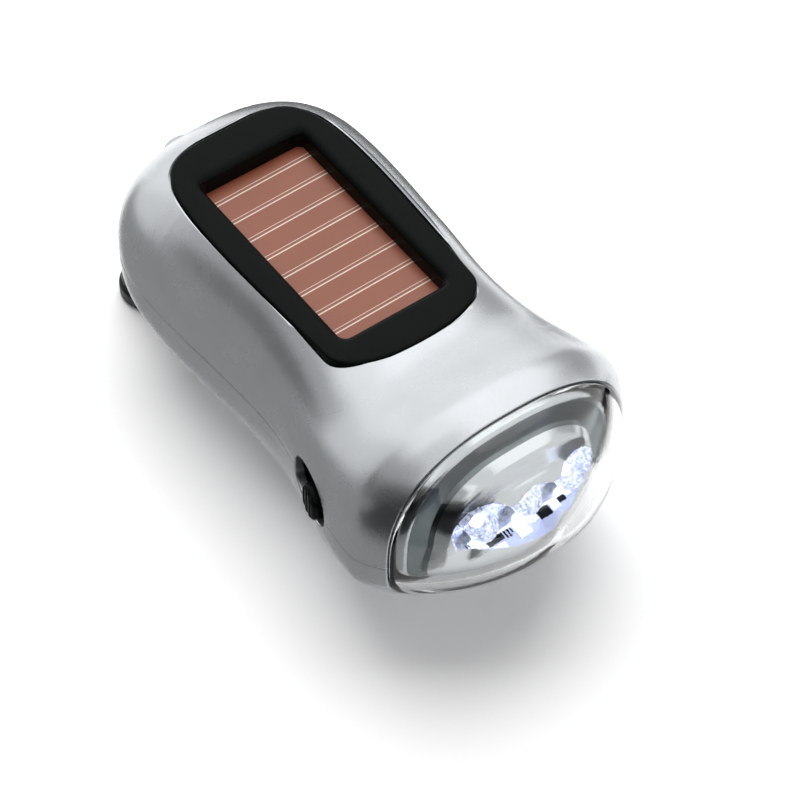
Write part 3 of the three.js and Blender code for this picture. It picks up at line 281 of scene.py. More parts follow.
def bars(name, places, low, high):
    """Thin closed bars between two heights, each on four corners given anticlockwise."""
    points, faces = [], []
    for corners in places:
        start = len(points)
        points += [(x, y, z) for z in (low, high) for x, y in corners]
        faces += [tuple(start + i for i in face) for face in (
            (3, 2, 1, 0), (4, 5, 6, 7), (0, 1, 5, 4), (1, 2, 6, 5), (2, 3, 7, 6), (3, 0, 4, 7))]
    return add_piece(name, points, faces)


print("mesh helpers ready")

# %% [markdown]
# ## Cards round the torch
# Silver paint has no look of its own: it shows what stands round it. In the photograph the left
# flank mirrors a dark studio and the top a bright one, so dark cards stand to the left and the
# front, and bright ones hang behind and above. Each card is an even grey of a known level, which
# is easier to match to a picture than a lamp. Cards show in reflections and through glass only.

# %% Cards round the torch
def reflected_card(name, foot, head, width, grey_level):
    """A card of an even grey from its foot to its head, seen in reflections and through glass."""
    foot, head = Vector(foot), Vector(head)
    run = head - foot if (head - foot).xy.length > MM else foot
    across = Vector((run.y, -run.x, 0)).normalized() * width / 2
    card = add_piece(name, [foot - across, foot + across, head + across, head - across], [(0, 1, 2, 3)])
    grey = bpy.data.materials.new(name + "_grey")
    grey.use_nodes = True
    tree = grey.node_tree
    tree.nodes.clear()
    glow = tree.nodes.new("ShaderNodeEmission")
    glow.inputs["Color"].default_value = (grey_level, grey_level, grey_level, 1)
    tree.links.new(glow.outputs[0], tree.nodes.new("ShaderNodeOutputMaterial").inputs["Surface"])
    card.data.materials.append(grey)
    for kind in ("camera", "diffuse", "shadow", "volume_scatter"):
        setattr(card, "visible_" + kind, False)
    return card


# The mats lying on the floor to the left and front are painted shadow: dark sheets that the silver mirrors
# where the torch's shadow falls on the floor.
cards = [
    ("left_card", (-0.40, 0.03, 0), (-0.38, 0.03, 0.19), 0.66, 0.17),
    ("left_high_card", (-0.38, 0.05, 0.19), (-0.28, 0.05, 0.36), 0.74, 0.50),
    ("left_shadow_mat", (-0.024, 0.03, 0.0003), (-0.36, 0.05, 0.0003), 0.34, 0.36),
    ("front_card", (-0.15, -0.18, 0), (-0.15, -0.18, 0.05), 0.34, 0.0),
    ("front_high_card", (-0.21, -0.135, 0.03), (-0.21, -0.135, 0.12), 0.24, 0.07),
    ("front_shadow_mat", (-0.055, -0.060, 0.0005), (-0.15, -0.18, 0.0005), 0.22, 0.02),
    ("front_right_shadow_mat", (0.03, -0.075, 0.0006), (0.10, -0.22, 0.0006), 0.20, 0.05),
    ("right_card", (0.58, 0.15, 0), (0.56, 0.15, 0.38), 0.60, 0.5),
    ("back_mat", (0.035, 0.03, 0.0004), (0.12, 0.18, 0.0004), 0.09, 0.10),
    ("back_card", (0.12, 0.60, 0.05), (0.11, 0.55, 0.50), 0.70, 1.30),
    ("top_card", (-0.13, -0.10, 0.45), (-0.05, 0.55, 0.45), 0.30, 1.35),
    ("right_top_card", (0.22, -0.40, 0.42), (0.22, 0.45, 0.42), 0.42, 1.60),
]
for card in cards:
    reflected_card(*card)
print("cards round the torch:", len(cards))


# %% [markdown]
# ## Finishes
# Every finish is a small tree of nodes: a base colour that drifts a little over the surface, a
# roughness that is never quite even, and a bump at the grain size of the real material. Texture
# coordinates are the object's own, so nothing slides when the camera moves.

# %% Finish helper
def two_tones(tree, start, dark, end, bright):
    """A colour ramp from a dark to a bright colour."""
    ramp = tree.nodes.new("ShaderNodeValToRGB")
    for element, position, colour in zip(ramp.color_ramp.elements, (start, end), (dark, bright)):
        element.position = position
        element.color = (*colour, 1)
    return ramp


def finish(name, colour, roughness, metallic=0.0, drift=0.04, grain=0.0002, bump=0.05, spread=0.05):
    """A Principled material whose colour, roughness and bump vary over the surface."""
    material = bpy.data.materials.new(name)
    material.use_nodes = True
    tree = material.node_tree
    shader = tree.nodes["Principled BSDF"]
    shader.inputs["Metallic"].default_value = metallic
    place = tree.nodes.new("ShaderNodeTexCoord")
    clouds = tree.nodes.new("ShaderNodeTexNoise")
    clouds.inputs["Scale"].default_value = 1 / (40 * grain)
    clouds.inputs["Detail"].default_value = 4
    low = [max(0.0, channel * (1 - drift)) for channel in colour]
    high = [min(1.0, channel * (1 + drift)) for channel in colour]
    tint = two_tones(tree, 0.3, low, 0.7, high)
    gloss = tree.nodes.new("ShaderNodeMapRange")
    gloss.inputs["To Min"].default_value = max(0.0, roughness - spread)
    gloss.inputs["To Max"].default_value = min(1.0, roughness + spread)
    speck = tree.nodes.new("ShaderNodeTexNoise")
    speck.inputs["Scale"].default_value = 1 / grain
    speck.inputs["Detail"].default_value = 2
    relief = tree.nodes.new("ShaderNodeBump")
    relief.inputs["Strength"].default_value = bump
    relief.inputs["Distance"].default_value = grain
    wire(tree, (place, "Object", clouds, "Vector"), (place, "Object", speck, "Vector"),
         (clouds, "Fac", tint, "Fac"), (tint, "Color", shader, "Base Color"),
         (clouds, "Fac", gloss, "Value"), (gloss, "Result", shader, "Roughness"),
         (speck, "Fac", relief, "Height"), (relief, "Normal", shader, "Normal"))
    return material


def srgb(red, green, blue):
    """A colour given as it is read off a picture, as the linear values that shaders want."""
    levels = [channel / 255 for channel in (red, green, blue)]
    return [level / 12.92 if level <= 0.04045 else ((level + 0.055) / 1.055) ** 2.4 for level in levels]


def shader_of(material):
    return material.node_tree.nodes["Principled BSDF"]


# %% Finishes of the torch
silver_paint = finish("silver_paint", srgb(197, 200, 203), 0.27, 0.92, 0.03, 0.00016, 0.10, 0.03)
black_moulding = finish("black_moulding", srgb(11, 15, 14), 0.26, 0.0, 0.12, 0.00018, 0.06)
crank_moulding = finish("crank_moulding", srgb(22, 24, 25), 0.42, 0.0, 0.10, 0.0002, 0.15)
cell_film = finish("cell_film", srgb(151, 85, 60), 0.30, 0.0, 0.06, 0.0004, 0.02)
cell_silver_line = finish("cell_silver_line", srgb(226, 206, 190), 0.35, 0.2, 0.05, 0.0002, 0.02)
chrome_film = finish("chrome_film", srgb(206, 209, 211), 0.17, 1.0, 0.02, 0.0003, 0.06, 0.03)
# Painted shade: a darker chrome for a band of the reflector by its rim.
painted_shade_chrome = finish("painted_shade_chrome", srgb(112, 119, 121), 0.22, 1.0, 0.10, 0.0003, 0.06, 0.03)
# Painted lamplight: a grainy glow for the reflector's recess, in place of the lamps' light on its walls.
painted_lamplight = finish("painted_lamplight", srgb(196, 202, 232), 0.38, 0.9, 0.20, 0.00035, 0.6)
board_laminate = finish("board_laminate", srgb(45, 107, 63), 0.45, 0.0, 0.10, 0.0003, 0.05)
gear_acetal = finish("gear_acetal", srgb(233, 230, 218), 0.45, 0.0, 0.02, 0.0002, 0.04)
pin_steel = finish("pin_steel", srgb(169, 172, 176), 0.28, 1.0, 0.05, 0.0001, 0.10)
can_steel = finish("can_steel", srgb(157, 161, 166), 0.32, 1.0, 0.05, 0.00015, 0.08)
magnet_ferrite = finish("magnet_ferrite", srgb(58, 58, 61), 0.7, 0.1, 0.15, 0.0002, 0.25)
winding_copper = finish("winding_copper", srgb(166, 90, 46), 0.35, 0.8, 0.15, 0.0003, 0.4)
battery_sleeve = finish("battery_sleeve", srgb(60, 138, 78), 0.4, 0.0, 0.06, 0.0003, 0.05)
bush_bronze = finish("bush_bronze", srgb(176, 141, 87), 0.45, 0.9, 0.10, 0.0002, 0.2)

clear_dome = finish("clear_dome", (0.97, 0.98, 0.98), 0.03, 0.0, 0.01, 0.0006, 0.02, 0.02)
eye_resin = finish("eye_resin", (0.90, 0.92, 0.92), 0.30, 0.0, 0.02, 0.0003, 0.08)
lamp_resin = finish("lamp_resin", (0.92, 0.95, 1.0), 0.05, 0.0, 0.01, 0.0003, 0.01, 0.02)
lamp_glow = finish("lamp_glow", (0.75, 0.82, 1.0), 0.5, 0.0, 0.02, 0.0002, 0.02)
# Painted highlight: a plain glow for the shelf's edge and the bright tiles.
painted_highlight_white = finish("painted_highlight_white", (0.85, 0.88, 0.95), 0.5, 0.0, 0.05, 0.0003, 0.1)
for material, setting, value in (
    (black_moulding, "Specular IOR Level", 0.06), (crank_moulding, "Specular IOR Level", 0.2),
    (clear_dome, "Transmission Weight", 1.0), (clear_dome, "IOR", 1.49),
    (eye_resin, "Transmission Weight", 0.6), (eye_resin, "IOR", 1.46),
    (lamp_resin, "Transmission Weight", 0.9), (lamp_resin, "IOR", 1.15),
    (lamp_glow, "Emission Color", (0.68, 0.76, 1.0, 1)), (lamp_glow, "Emission Strength", 9.0),
    (painted_highlight_white, "Emission Color", (0.82, 0.87, 1.0, 1)), (painted_highlight_white, "Emission Strength", 1.0),
):
    shader_of(material).inputs[setting].default_value = value


def sparkle(material, dark, bright, strength, scale):
    """A glow that is broken up into fine grains, as light from the lamps is on a bowl."""
    tree = material.node_tree
    grains = tree.nodes.new("ShaderNodeTexNoise")
    grains.inputs["Scale"].default_value = scale
    grains.inputs["Detail"].default_value = 3
    ramp = two_tones(tree, 0.42, dark, 0.58, bright)
    wire(tree, (tree.nodes["Texture Coordinate"], "Object", grains, "Vector"), (grains, "Fac", ramp, "Fac"),
         (ramp, "Color", shader_of(material), "Emission Color"))
    shader_of(material).inputs["Emission Strength"].default_value = strength


sparkle(painted_lamplight, srgb(58, 62, 104), srgb(250, 251, 255), 0.85, 2200)
sparkle(lamp_resin, srgb(36, 40, 92), srgb(232, 236, 255), 0.45, 2200)
print("finishes:", len(bpy.data.materials))

# %% [markdown]
# ## The body's form
# The whole body, lens included, is one swelling form: a rounded tail, a waist, and a broad head
# that closes in a blunt nose. Cross sections are superellipses whose width, rise and drop change
# along Y by smooth steps, so one formula gives every point of the skin, and the same formula with
# an inset gives the inside of the wall, the reflector behind the lens and the rounded edges.

# %% Driving sizes of the body
tail_end, tail_shoulder, waist_station = 48.6 * MM, 26.4 * MM, -5.5 * MM
head_shoulder, lens_tip, seam_station = -35.9 * MM, -54.9 * MM, -41.9 * MM
width_stations = (tail_shoulder, waist_station, head_shoulder)
half_widths = (23.7 * MM, 22.2 * MM, 27 * MM)
height_stations = (3.4 * MM, -20.2 * MM, -40.3 * MM)
rises = (23.8 * MM, 19 * MM, 24.4 * MM)
drops = (17.9 * MM, 19.4 * MM, 13.7 * MM)
nose_lift = 2.7 * MM
tail_power, nose_side_power, nose_top_power = 2.7, 1.5, 1.7
upper_power, lower_power = 2.48, 3.2
belly_height = 4.2 * MM
parting_height = 22.5 * MM
plateau_height = 40.7 * MM
parting_gap = 0.2 * MM
shell_wall = 1.6 * MM
edge_round = 0.3 * MM


# %% Form of the body
def rounding(t, power):
    return (1 - np.clip(t, 0, 1) ** power) ** (1 / power)


def ease(t):
    t = np.clip(t, 0, 1)
    return t * t * (3 - 2 * t)


def signed_power(value, power):
    return np.sign(value) * np.abs(value) ** power


def swell(y, inset, stations, sizes):
    """A size that eases between three stations along the body and closes at the tail."""
    rear, middle, front = stations
    rear_size, middle_size, front_size = (size - inset for size in sizes)
    closing = rear_size * rounding((y - rear) / (tail_end - inset - rear), tail_power)
    back = middle_size + (rear_size - middle_size) * ease((y - middle) / (rear - middle))
    fore = front_size + (middle_size - front_size) * ease((y - front) / (middle - front))
    return np.where(y > rear, closing, np.where(y > middle, back, fore))


def section(y, inset=0.0):
    """Half width, rise, drop and lift of the cross section at a station."""
    nose = (head_shoulder - y) / (head_shoulder - lens_tip - inset)
    side, height = rounding(nose, nose_side_power), rounding(nose, nose_top_power)
    half_width = swell(y, inset, width_stations, half_widths) * side
    rise = swell(y, inset, height_stations, rises) * height
    drop = swell(y, inset, height_stations, drops) * height
    return half_width, rise, drop, nose_lift * (1 - height)


def skin(y, angle, inset=0.0, split=0.0):
    """Points of the body's skin; a split moves the halves apart at the parting line."""
    y, angle, inset = np.broadcast_arrays(y, angle, inset)
    tail_scale = (tail_end - inset - tail_shoulder) / (tail_end - tail_shoulder)
    nose_scale = (head_shoulder - lens_tip - inset) / (head_shoulder - lens_tip)
    y = np.where(y > tail_shoulder, tail_shoulder + (y - tail_shoulder) * tail_scale, y)
    y = np.where(y < head_shoulder, head_shoulder + (y - head_shoulder) * nose_scale, y)
    half_width, rise, drop, lift = section(y, inset)
    upper = np.sin(angle) >= -1e-9
    power = 2 / np.where(upper, upper_power, lower_power)
    x = half_width * signed_power(np.cos(angle), power)
    reach = np.where(upper, rise, drop) - split
    z = parting_height + lift + reach * signed_power(np.sin(angle), power) + np.where(upper, split, -split)
    return np.stack([x, y, z], axis=-1)


def skin_top(x, y):
    """Height of the body's upper skin over a place."""
    half_width, rise, _, lift = section(np.asarray(y, float))
    share = np.clip(np.abs(x) / half_width, 0, 1)
    return parting_height + lift + rise * (1 - share**upper_power) ** (1 / upper_power)


def half_width_at(y):
    return float(section(np.array(y))[0])


print("widest point of the head:", round(half_width_at(head_shoulder) * 2 / MM, 1), "mm")

# %% [markdown]
# ## Rows for the shells
# The moulded shells meet with softly rounded edges, which catch the light as a thin line. Extra
# rows of points beside the parting line and the lens seam carry that round: the nearer a row is
# to the edge, the further it is inset.

# %% Rows and rings
edge_distances = np.array([0, 0.04, 0.1, 0.18, 0.3, 0.6, 1.1]) * MM
reference_rise = 20 * MM
row_count, ring_pitch, tail_ring_count = 60, 1.0 * MM, 26


def edge_inset(distance):
    """How far a rounded edge draws the skin in, at a distance from the edge."""
    rest = np.clip(edge_round - distance, 0, edge_round)
    return edge_round - np.sqrt(edge_round**2 - rest**2)


def half_rows(power, sign):
    """Angles from one parting edge to the other, and each row's inset."""
    near = np.arcsin((edge_distances / reference_rise) ** (power / 2))
    middle = np.linspace(near[-1], math.pi - near[-1], row_count)[1:-1]
    angles = np.concatenate([near, middle, math.pi - near[::-1]])
    quiet = np.zeros(row_count - 2)
    near_inset = edge_inset(edge_distances)
    return sign * angles, np.concatenate([near_inset, quiet, near_inset[::-1]])


def shell_rings():
    """Stations from the lens seam to the tail's end, and each ring's inset."""
    seam = seam_station + parting_gap / 2
    near = seam + edge_distances
    middle = np.arange(near[-1] + ring_pitch, tail_shoulder, ring_pitch)
    turn = np.linspace(0, math.pi / 2, tail_ring_count)
    tail = tail_shoulder + (tail_end - tail_shoulder) * np.sin(turn) ** (2 / tail_power)
    stations = np.concatenate([near, middle, tail])
    insets = np.zeros(len(stations))
    insets[: len(near)] = edge_inset(edge_distances)
    return stations, insets


def shell_half(name, power, sign):
    """One moulded half: an outer and an inner skin, joined at the parting edges and the seam."""
    stations, ring_insets = shell_rings()
    angles, row_insets = half_rows(power, sign)
    insets = ring_insets[:, None] + row_insets[None, :]
    split = parting_gap / 2
    outer = skin(stations[:, None], angles[None, :], insets, split)
    inner = skin(stations[:, None], angles[None, :], shell_wall, split)
    rings, rows = outer.shape[:2]
    edges = [(start, start + rows) for start in range(0, (rings - 1) * rows, rows)]
    edges += [(start + rows - 1, end + rows - 1) for start, end in edges]
    return two_skins(name, outer, inner, side_faces=edges)


# %% [markdown]
# ## Outline of the bezel
# The black bezel is blunt and square at the tail and round at the head, and it tapers towards the
# head. Two halves of superellipses with different powers, on a width that shrinks evenly, give
# that outline, and a margin makes the pocket round it.

# %% Bezel outline
bezel_station, bezel_tail_reach, bezel_head_reach = -12.3 * MM, 50.4 * MM, 6.8 * MM
bezel_middle_half, bezel_tail_half = 14.8 * MM, 17.3 * MM
bezel_tail_power, bezel_head_power = 4.7, 2.2
bezel_points = 200
pocket_lip = 0.5 * MM


def bezel_outline(margin=0.0):
    angle = np.linspace(0, 2 * math.pi, bezel_points, endpoint=False)
    rearward = np.sin(angle) >= 0
    power = 2 / np.where(rearward, bezel_tail_power, bezel_head_power)
    extent = np.where(rearward, bezel_tail_reach, bezel_head_reach) + margin
    y = extent * signed_power(np.sin(angle), power)
    half = bezel_middle_half + (bezel_tail_half - bezel_middle_half) * y / bezel_tail_reach + margin
    return half * signed_power(np.cos(angle), power), bezel_station + y


def pocket_cutter():
    """The room over the plateau: its wall ends in a round that follows the crown's height."""
    x, y = bezel_outline(pocket_lip)
    crown = np.maximum(skin_top(x, y), plateau_height + edge_round)
    loops = [level((x, y), plateau_height)]
    for out, fall in quarter(edge_round, [0, 20, 40, 60, 80]):
        loops.append(level(bezel_outline(pocket_lip + out), crown - fall))
    loops.append(level(bezel_outline(pocket_lip + 2 * edge_round), crown + 8 * MM))
    return loop_stack("pocket_cutter", loops)


def upright_cutter(outline, low, high):
    return loop_stack("cutter", [level(outline, height) for height in (low, high)])


def round_rectangle(half_x, y_low, y_high, corner, steps=8):
    """A rectangle with round corners, anticlockwise from the middle of its right side."""
    points = []
    corners = [
        (half_x - corner, y_high - corner, 0),
        (-half_x + corner, y_high - corner, 90),
        (-half_x + corner, y_low + corner, 180),
        (half_x - corner, y_low + corner, 270),
    ]
    for x, y, start in corners:
        for step in range(steps + 1):
            angle = math.radians(start + 90 * step / steps)
            points.append((x + corner * math.cos(angle), y + corner * math.sin(angle)))
    return tuple(np.array(points).T)


# %% [markdown]
# ## The switch opening
# The slide switch sits in the left wall, just ahead of the waist, where the wall runs at a slant.
# A small frame of its own, with one axis along the wall and one into it, makes its pieces simple.

# %% Switch frame and opening
switch_station, switch_height = -21.6 * MM, 22.3 * MM
switch_half_length, switch_half_height, switch_power = 6.2 * MM, 4.9 * MM, 2.4
switch_wall = half_width_at(switch_station)
switch_slope = half_width_at(switch_station + MM) - half_width_at(switch_station - MM)
switch_turn = math.atan2(switch_slope, 2 * MM)
switch_origin = Vector((-switch_wall, switch_station, switch_height))
switch_inward = Vector((math.cos(switch_turn), math.sin(switch_turn), 0))
switch_along = Vector((-math.sin(switch_turn), math.cos(switch_turn), 0))


def switch_point(depth, along, up):
    """A place in the switch's own frame: depth into the wall, along it, and up."""
    x, y, z = switch_origin + float(depth) * switch_inward + float(along) * switch_along
    return Vector((x, y, z + up))


def wall_depth(along, up):
    """Depth at which a line into the wall meets the body's skin."""
    depth = 0.0
    for _ in range(6):
        place = switch_point(depth, along, up)
        half_width, rise, drop, lift = (float(size) for size in section(np.array(place.y)))
        height = place.z - parting_height - lift
        power = upper_power if height > 0 else lower_power
        share = min(abs(height) / (rise if height > 0 else drop), 1)
        surface = -half_width * (1 - share**power) ** (1 / power)
        depth += (surface - place.x) / switch_inward.x
    return depth


def switch_cutter(count=96):
    """The opening through the wall, with a round where it meets the skin."""
    angles = np.linspace(0, 2 * math.pi, count, endpoint=False)
    across = signed_power(np.cos(angles), 2 / switch_power)
    upward = signed_power(np.sin(angles), 2 / switch_power)

    def ring(margin, offset):
        loop = []
        for a, b in zip(across, upward):
            depth = wall_depth(a * switch_half_length, b * switch_half_height)
            along = a * (switch_half_length + margin)
            loop.append(switch_point(depth + offset, along, b * (switch_half_height + margin)))
        return loop

    loops = [ring(0, 3 * shell_wall)]
    loops += [ring(out, fall) for out, fall in quarter(edge_round, [0, 25, 50, 75])]
    loops.append(ring(2 * edge_round, -3 * MM))
    return loop_stack("switch_cutter", loops)


print("switch frame turned", round(math.degrees(switch_turn), 2), "degrees")

# %% [markdown]
# ## The lanyard eye's place
# The eye is a clear tab that stands out of the tail between the shells, so both shells have a
# slot for its neck.

# %% Eye sizes
eye_radius, eye_hole_radius, eye_station = 3.9 * MM, 2.1 * MM, 51.0 * MM
eye_bottom, eye_top = 21.1 * MM, 24.5 * MM
eye_neck_half = 2.6 * MM
seat_gap = 0.25 * MM


def eye_slot_cutter():
    low = (-eye_neck_half - seat_gap, 40 * MM, eye_bottom - seat_gap)
    return block("eye_slot", low, (eye_neck_half + seat_gap, eye_station, eye_top + seat_gap))


# %% [markdown]
# ## Upper shell
# The crown of the body. The exact boolean cuts the plateau for the bezel, the pocket for its
# flange, the well for the cell, the switch opening and the eye's slot.

# %% Upper shell
bezel_flange = 1.6 * MM
window_half, window_front, window_rear, window_corner = 10.1 * MM, -11.1 * MM, 30.0 * MM, 1.2 * MM
well_wall = 2.4 * MM
above_plateau = plateau_height + MM
well_bottom_cut = parting_height + 5 * MM


def window_outline(margin, steps=12):
    """The bezel's window, wider by a margin all round."""
    x_side, front, rear = window_half + margin, window_front - margin, window_rear + margin
    return round_rectangle(x_side, front, rear, window_corner + margin, steps)


upper_shell = shell_half("upper_shell_skin", upper_power, 1)
carve(upper_shell, pocket_cutter())
carve(upper_shell, upright_cutter(bezel_outline(seat_gap), plateau_height - bezel_flange, above_plateau))
carve(upper_shell, upright_cutter(window_outline(well_wall + seat_gap, 8), well_bottom_cut, above_plateau))
carve(upper_shell, switch_cutter())
carve(upper_shell, eye_slot_cutter())
smooth(dress(upper_shell, "housing", "silver_shell", silver_paint, "upper_shell"))
print("upper shell:", len(upper_shell.data.polygons), "faces")

# %% [markdown]
# ## Lower shell
# The belly, cut flat where the torch lies, with the round recess that the crank's hub turns in
# and four deep counterbores for the case screws.

# %% Lower shell
crank_axis = Vector((0, -4 * MM, 0))
hub_radius, recess_gap, recess_top, floor_top = 14 * MM, 0.42 * MM, 6.1 * MM, 8.0 * MM
bush_hole_radius = 4.59 * MM
pad_radius, pad_bottom = hub_radius + 2.2 * MM, 5.2 * MM
screw_places = {
    node: ((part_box(node)[0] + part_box(node)[1]) / 2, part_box(node))
    for node in frame["nodes"]
    if node.startswith("case_screw")
}
boss_radius, counterbore_radius = 3.1 * MM, 2.25 * MM
screw_seat = 13.2 * MM
far_below = -5 * MM


def body_solid(inset):
    """The body behind the seam as a filled solid."""
    stations, _ = shell_rings()
    angles = np.linspace(0, 2 * math.pi, 120, endpoint=False)
    return loop_stack("body_solid", [*skin(stations[:-1, None], angles[None, :], inset)])


lower_shell = shell_half("lower_shell_skin", lower_power, -1)
carve(lower_shell, switch_cutter())
floor_pad = [(pad_radius, pad_bottom), (pad_radius, floor_top)]
carve(lower_shell, turned("floor_pad", floor_pad, 96, place=crank_axis), "UNION")
for centre, _ in screw_places.values():
    place = (centre.x, centre.y, 0)
    boss = rod("boss", boss_radius, far_below, parting_height - parting_gap, 40, place=place)
    carve(lower_shell, carve(boss, body_solid(shell_wall / 2), "INTERSECT"), "UNION")
    carve(lower_shell, rod("bore", counterbore_radius, far_below, screw_seat, 40, place=place))
body_reach = 80 * MM
belly = block("belly_cutter", (-body_reach, -body_reach, far_below), (body_reach, body_reach, belly_height))
carve(lower_shell, belly)
recess = [(hub_radius + recess_gap, far_below), (hub_radius + recess_gap, recess_top)]
recess += [(bush_hole_radius, recess_top), (bush_hole_radius, 2 * floor_top)]
carve(lower_shell, turned("recess", recess, 96, place=crank_axis))
carve(lower_shell, eye_slot_cutter())
smooth(dress(lower_shell, "housing", "silver_shell", silver_paint, "lower_shell"))
print("lower shell:", len(lower_shell.data.polygons), "faces")

# %% [markdown]
# ## Solar bezel
# A glossy black frame with a pillowed rim. It is one closed band of loops: up the outside, over a
# rounded shoulder, across the top, down a soft inner lip and along the steep wall to the cell.
# Both outlines are sampled along the same rays from the middle, so the loops match up.

# %% Bezel
bezel_top, window_floor = 41.0 * MM, 37.5 * MM
bezel_middle = Vector((0, (window_front + window_rear) / 2))


def ray_hits(outline, angles):
    """Where rays from the window's middle meet a closed anticlockwise outline."""
    x, y = outline[0] - bezel_middle.x, outline[1] - bezel_middle.y
    next_x, next_y = np.roll(x, -1), np.roll(y, -1)
    hits = []
    for angle in angles:
        cosine, sine = math.cos(angle), math.sin(angle)
        side, next_side = x * sine - y * cosine, next_x * sine - next_y * cosine
        ahead = (x + next_x) * cosine + (y + next_y) * sine > 0
        edge = np.flatnonzero((side >= 0) & (next_side < 0) & ahead)[0]
        share = side[edge] / (side[edge] - next_side[edge])
        hits.append((x[edge] + share * (next_x[edge] - x[edge]), y[edge] + share * (next_y[edge] - y[edge])))
    hit_x, hit_y = np.array(hits).T
    return bezel_middle.x + hit_x, bezel_middle.y + hit_y


def bezel_rays():
    """Directions that sample the window's corners and the outline's bends well."""
    corner_x, corner_y = window_outline(0)
    outer_x, outer_y = bezel_outline(0)
    near = np.arctan2(corner_y - bezel_middle.y, corner_x - bezel_middle.x)
    far = np.arctan2(outer_y - bezel_middle.y, outer_x - bezel_middle.x)
    rays = np.sort(np.concatenate([near, far[::2]]))
    return rays[np.concatenate([[True], np.diff(rays) > 0.004])]


def bezel_loops():
    """The closed band, from the flange up the outside and down the inside to the cell."""
    rays = bezel_rays()
    shoulder, crest_inset, crest_rise = 0.6 * MM, 2.4 * MM, 0.03 * MM
    lip, lip_step, cell_ledge = 1.5 * MM, 0.2 * MM, 1.4 * MM
    bottom, well_bottom = plateau_height - bezel_flange + 0.1 * MM, 36.1 * MM
    rows = [("outer", 0, bottom)]
    rows += [("outer", -out, bezel_top - fall) for out, fall in quarter(shoulder, [0, 22.5, 45, 67.5, 90])]
    rows.append(("outer", -crest_inset, bezel_top + crest_rise))
    rows += [("window", out + lip_step, bezel_top - fall) for out, fall in quarter(lip, [90, 70, 50, 30, 12])]
    rows += [
        ("window", lip_step / 2, bezel_top - 1.5 * lip), ("window", 0, window_floor + 0.15 * MM),
        ("window", 0, window_floor), ("window", cell_ledge, window_floor),
        ("window", cell_ledge, well_bottom), ("window", well_wall, well_bottom),
        ("window", well_wall, bottom),
    ]
    outlines = {"outer": bezel_outline, "window": window_outline}
    return [level(ray_hits(outlines[side](margin), rays), height) for side, margin, height in rows]


bezel = loop_stack("bezel_frame", bezel_loops(), closed=True)
smooth(dress(bezel, "housing", "black_trim", black_moulding, "solar_bezel"), 40)
print("bezel:", len(bezel.data.polygons), "faces")

# %% [markdown]
# ## Solar cell
# A copper-brown film under the window, with eight pairs of fine cream lines across it: a broad
# one and a hair line beside it. The film sits a touch askew in the window, by about one degree,
# and here only its lines are turned by that much.

# %% Cell and its lines
cell_margin = 1.2 * MM
cell_low, cell_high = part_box("solar_cell")
cell_edge = 0.12 * MM


def cell_loop(margin, height):
    return level(window_outline(cell_margin + margin, 8), height)


cell = loop_stack("cell_plate", [
    cell_loop(0, cell_low.z), cell_loop(0, cell_high.z - cell_edge), cell_loop(-cell_edge, cell_high.z)])
smooth(dress(cell, "housing", "cell_film", cell_film, "solar_cell"))

line_pairs, line_pitch, first_line = 8, 4.88 * MM, 26.83 * MM
line_turn = math.radians(1.0)
line_half_length, line_thickness = 10.7 * MM, 0.02 * MM
broad_line, hair_line, pair_gap = 0.25 * MM, 0.12 * MM, 0.72 * MM


def line_places():
    """The four corners of every printed line."""
    for pair in range(line_pairs):
        for offset, width in ((0, broad_line), (pair_gap, hair_line)):
            station = first_line - pair * line_pitch + offset
            skew = line_half_length * math.tan(line_turn)
            yield [(x * line_half_length, station + y * width / 2 + x * skew) for x, y in square_corners]


cell_lines = bars("cell_lines", line_places(), cell_high.z - line_thickness, cell_high.z + line_thickness)
dress(cell_lines, "housing", "cell_film", cell_silver_line)
print("cell lines:", len(cell_lines.data.polygons) // 6)

# %% [markdown]
# ## Lens
# The clear dome is the front of the same form. Outer and inner skin have their own curvature, so
# light bends through the wall as it does in the real moulding, and the edge at the seam is
# rounded to give the fine dark line there.

# %% Lens dome
lens_wall, lens_ring_count, lens_row_count = 1.9 * MM, 40, 160


def nose_rings():
    """Stations from the seam to the tip of the nose, and each ring's inset."""
    seam = seam_station - parting_gap / 2
    share_at_seam = (head_shoulder - seam) / (head_shoulder - lens_tip)
    first_turn = math.asin(share_at_seam ** (nose_side_power / 2))
    turn = np.linspace(first_turn, math.pi / 2, lens_ring_count)[1:]
    nose = head_shoulder - (head_shoulder - lens_tip) * np.sin(turn) ** (2 / nose_side_power)
    near = seam - edge_distances[edge_distances < seam - nose[0]]
    stations = np.concatenate([near, nose])
    insets = np.zeros(len(stations))
    insets[: len(near)] = edge_inset(seam - near)
    return stations, insets


def dome(name, wall):
    """The nose as a shell of an even wall, open towards the tail."""
    stations, insets = nose_rings()
    angles = np.linspace(0, 2 * math.pi, lens_row_count, endpoint=False)
    outer = skin(stations[:, None], angles[None, :], insets[:, None])
    return two_skins(name, outer, skin(stations[:, None], angles[None, :], wall), around=True)


lens = dome("lens_dome", lens_wall)
smooth(dress(lens, "housing", "clear_lens", clear_dome, "lens"))
print("lens:", len(lens.data.polygons), "faces")

# %% [markdown]
# ## Reflector
# Behind the dome lies a chromed skin of the same form. It steps down from its rim in two
# terraces, and a tray with three bowls is sunk into its middle, each with a hole for its lamp.
# The bowls run into each other and stop at a level shelf, on which small tiles of painted shade,
# painted highlight and painted lamplight stand for the dark and bright facets there, and a glowing
# bar on its back edge is a painted highlight. A filled nose minus a smaller one leaves an even
# wall. The recess glows with painted lamplight that sparkles in place of the lamps' light on its
# walls, and a band by the rim is painted shade in a darker chrome.

# %% Reflector
reflector_inset, reflector_wall = 3.3 * MM, 1.2 * MM
terrace_stations = np.array([-41.7, -42.5, -45.4, -46.9, -50.5]) * MM
terrace_depths = np.array([0, 2.8, 1.2, 2.4, 0]) * MM


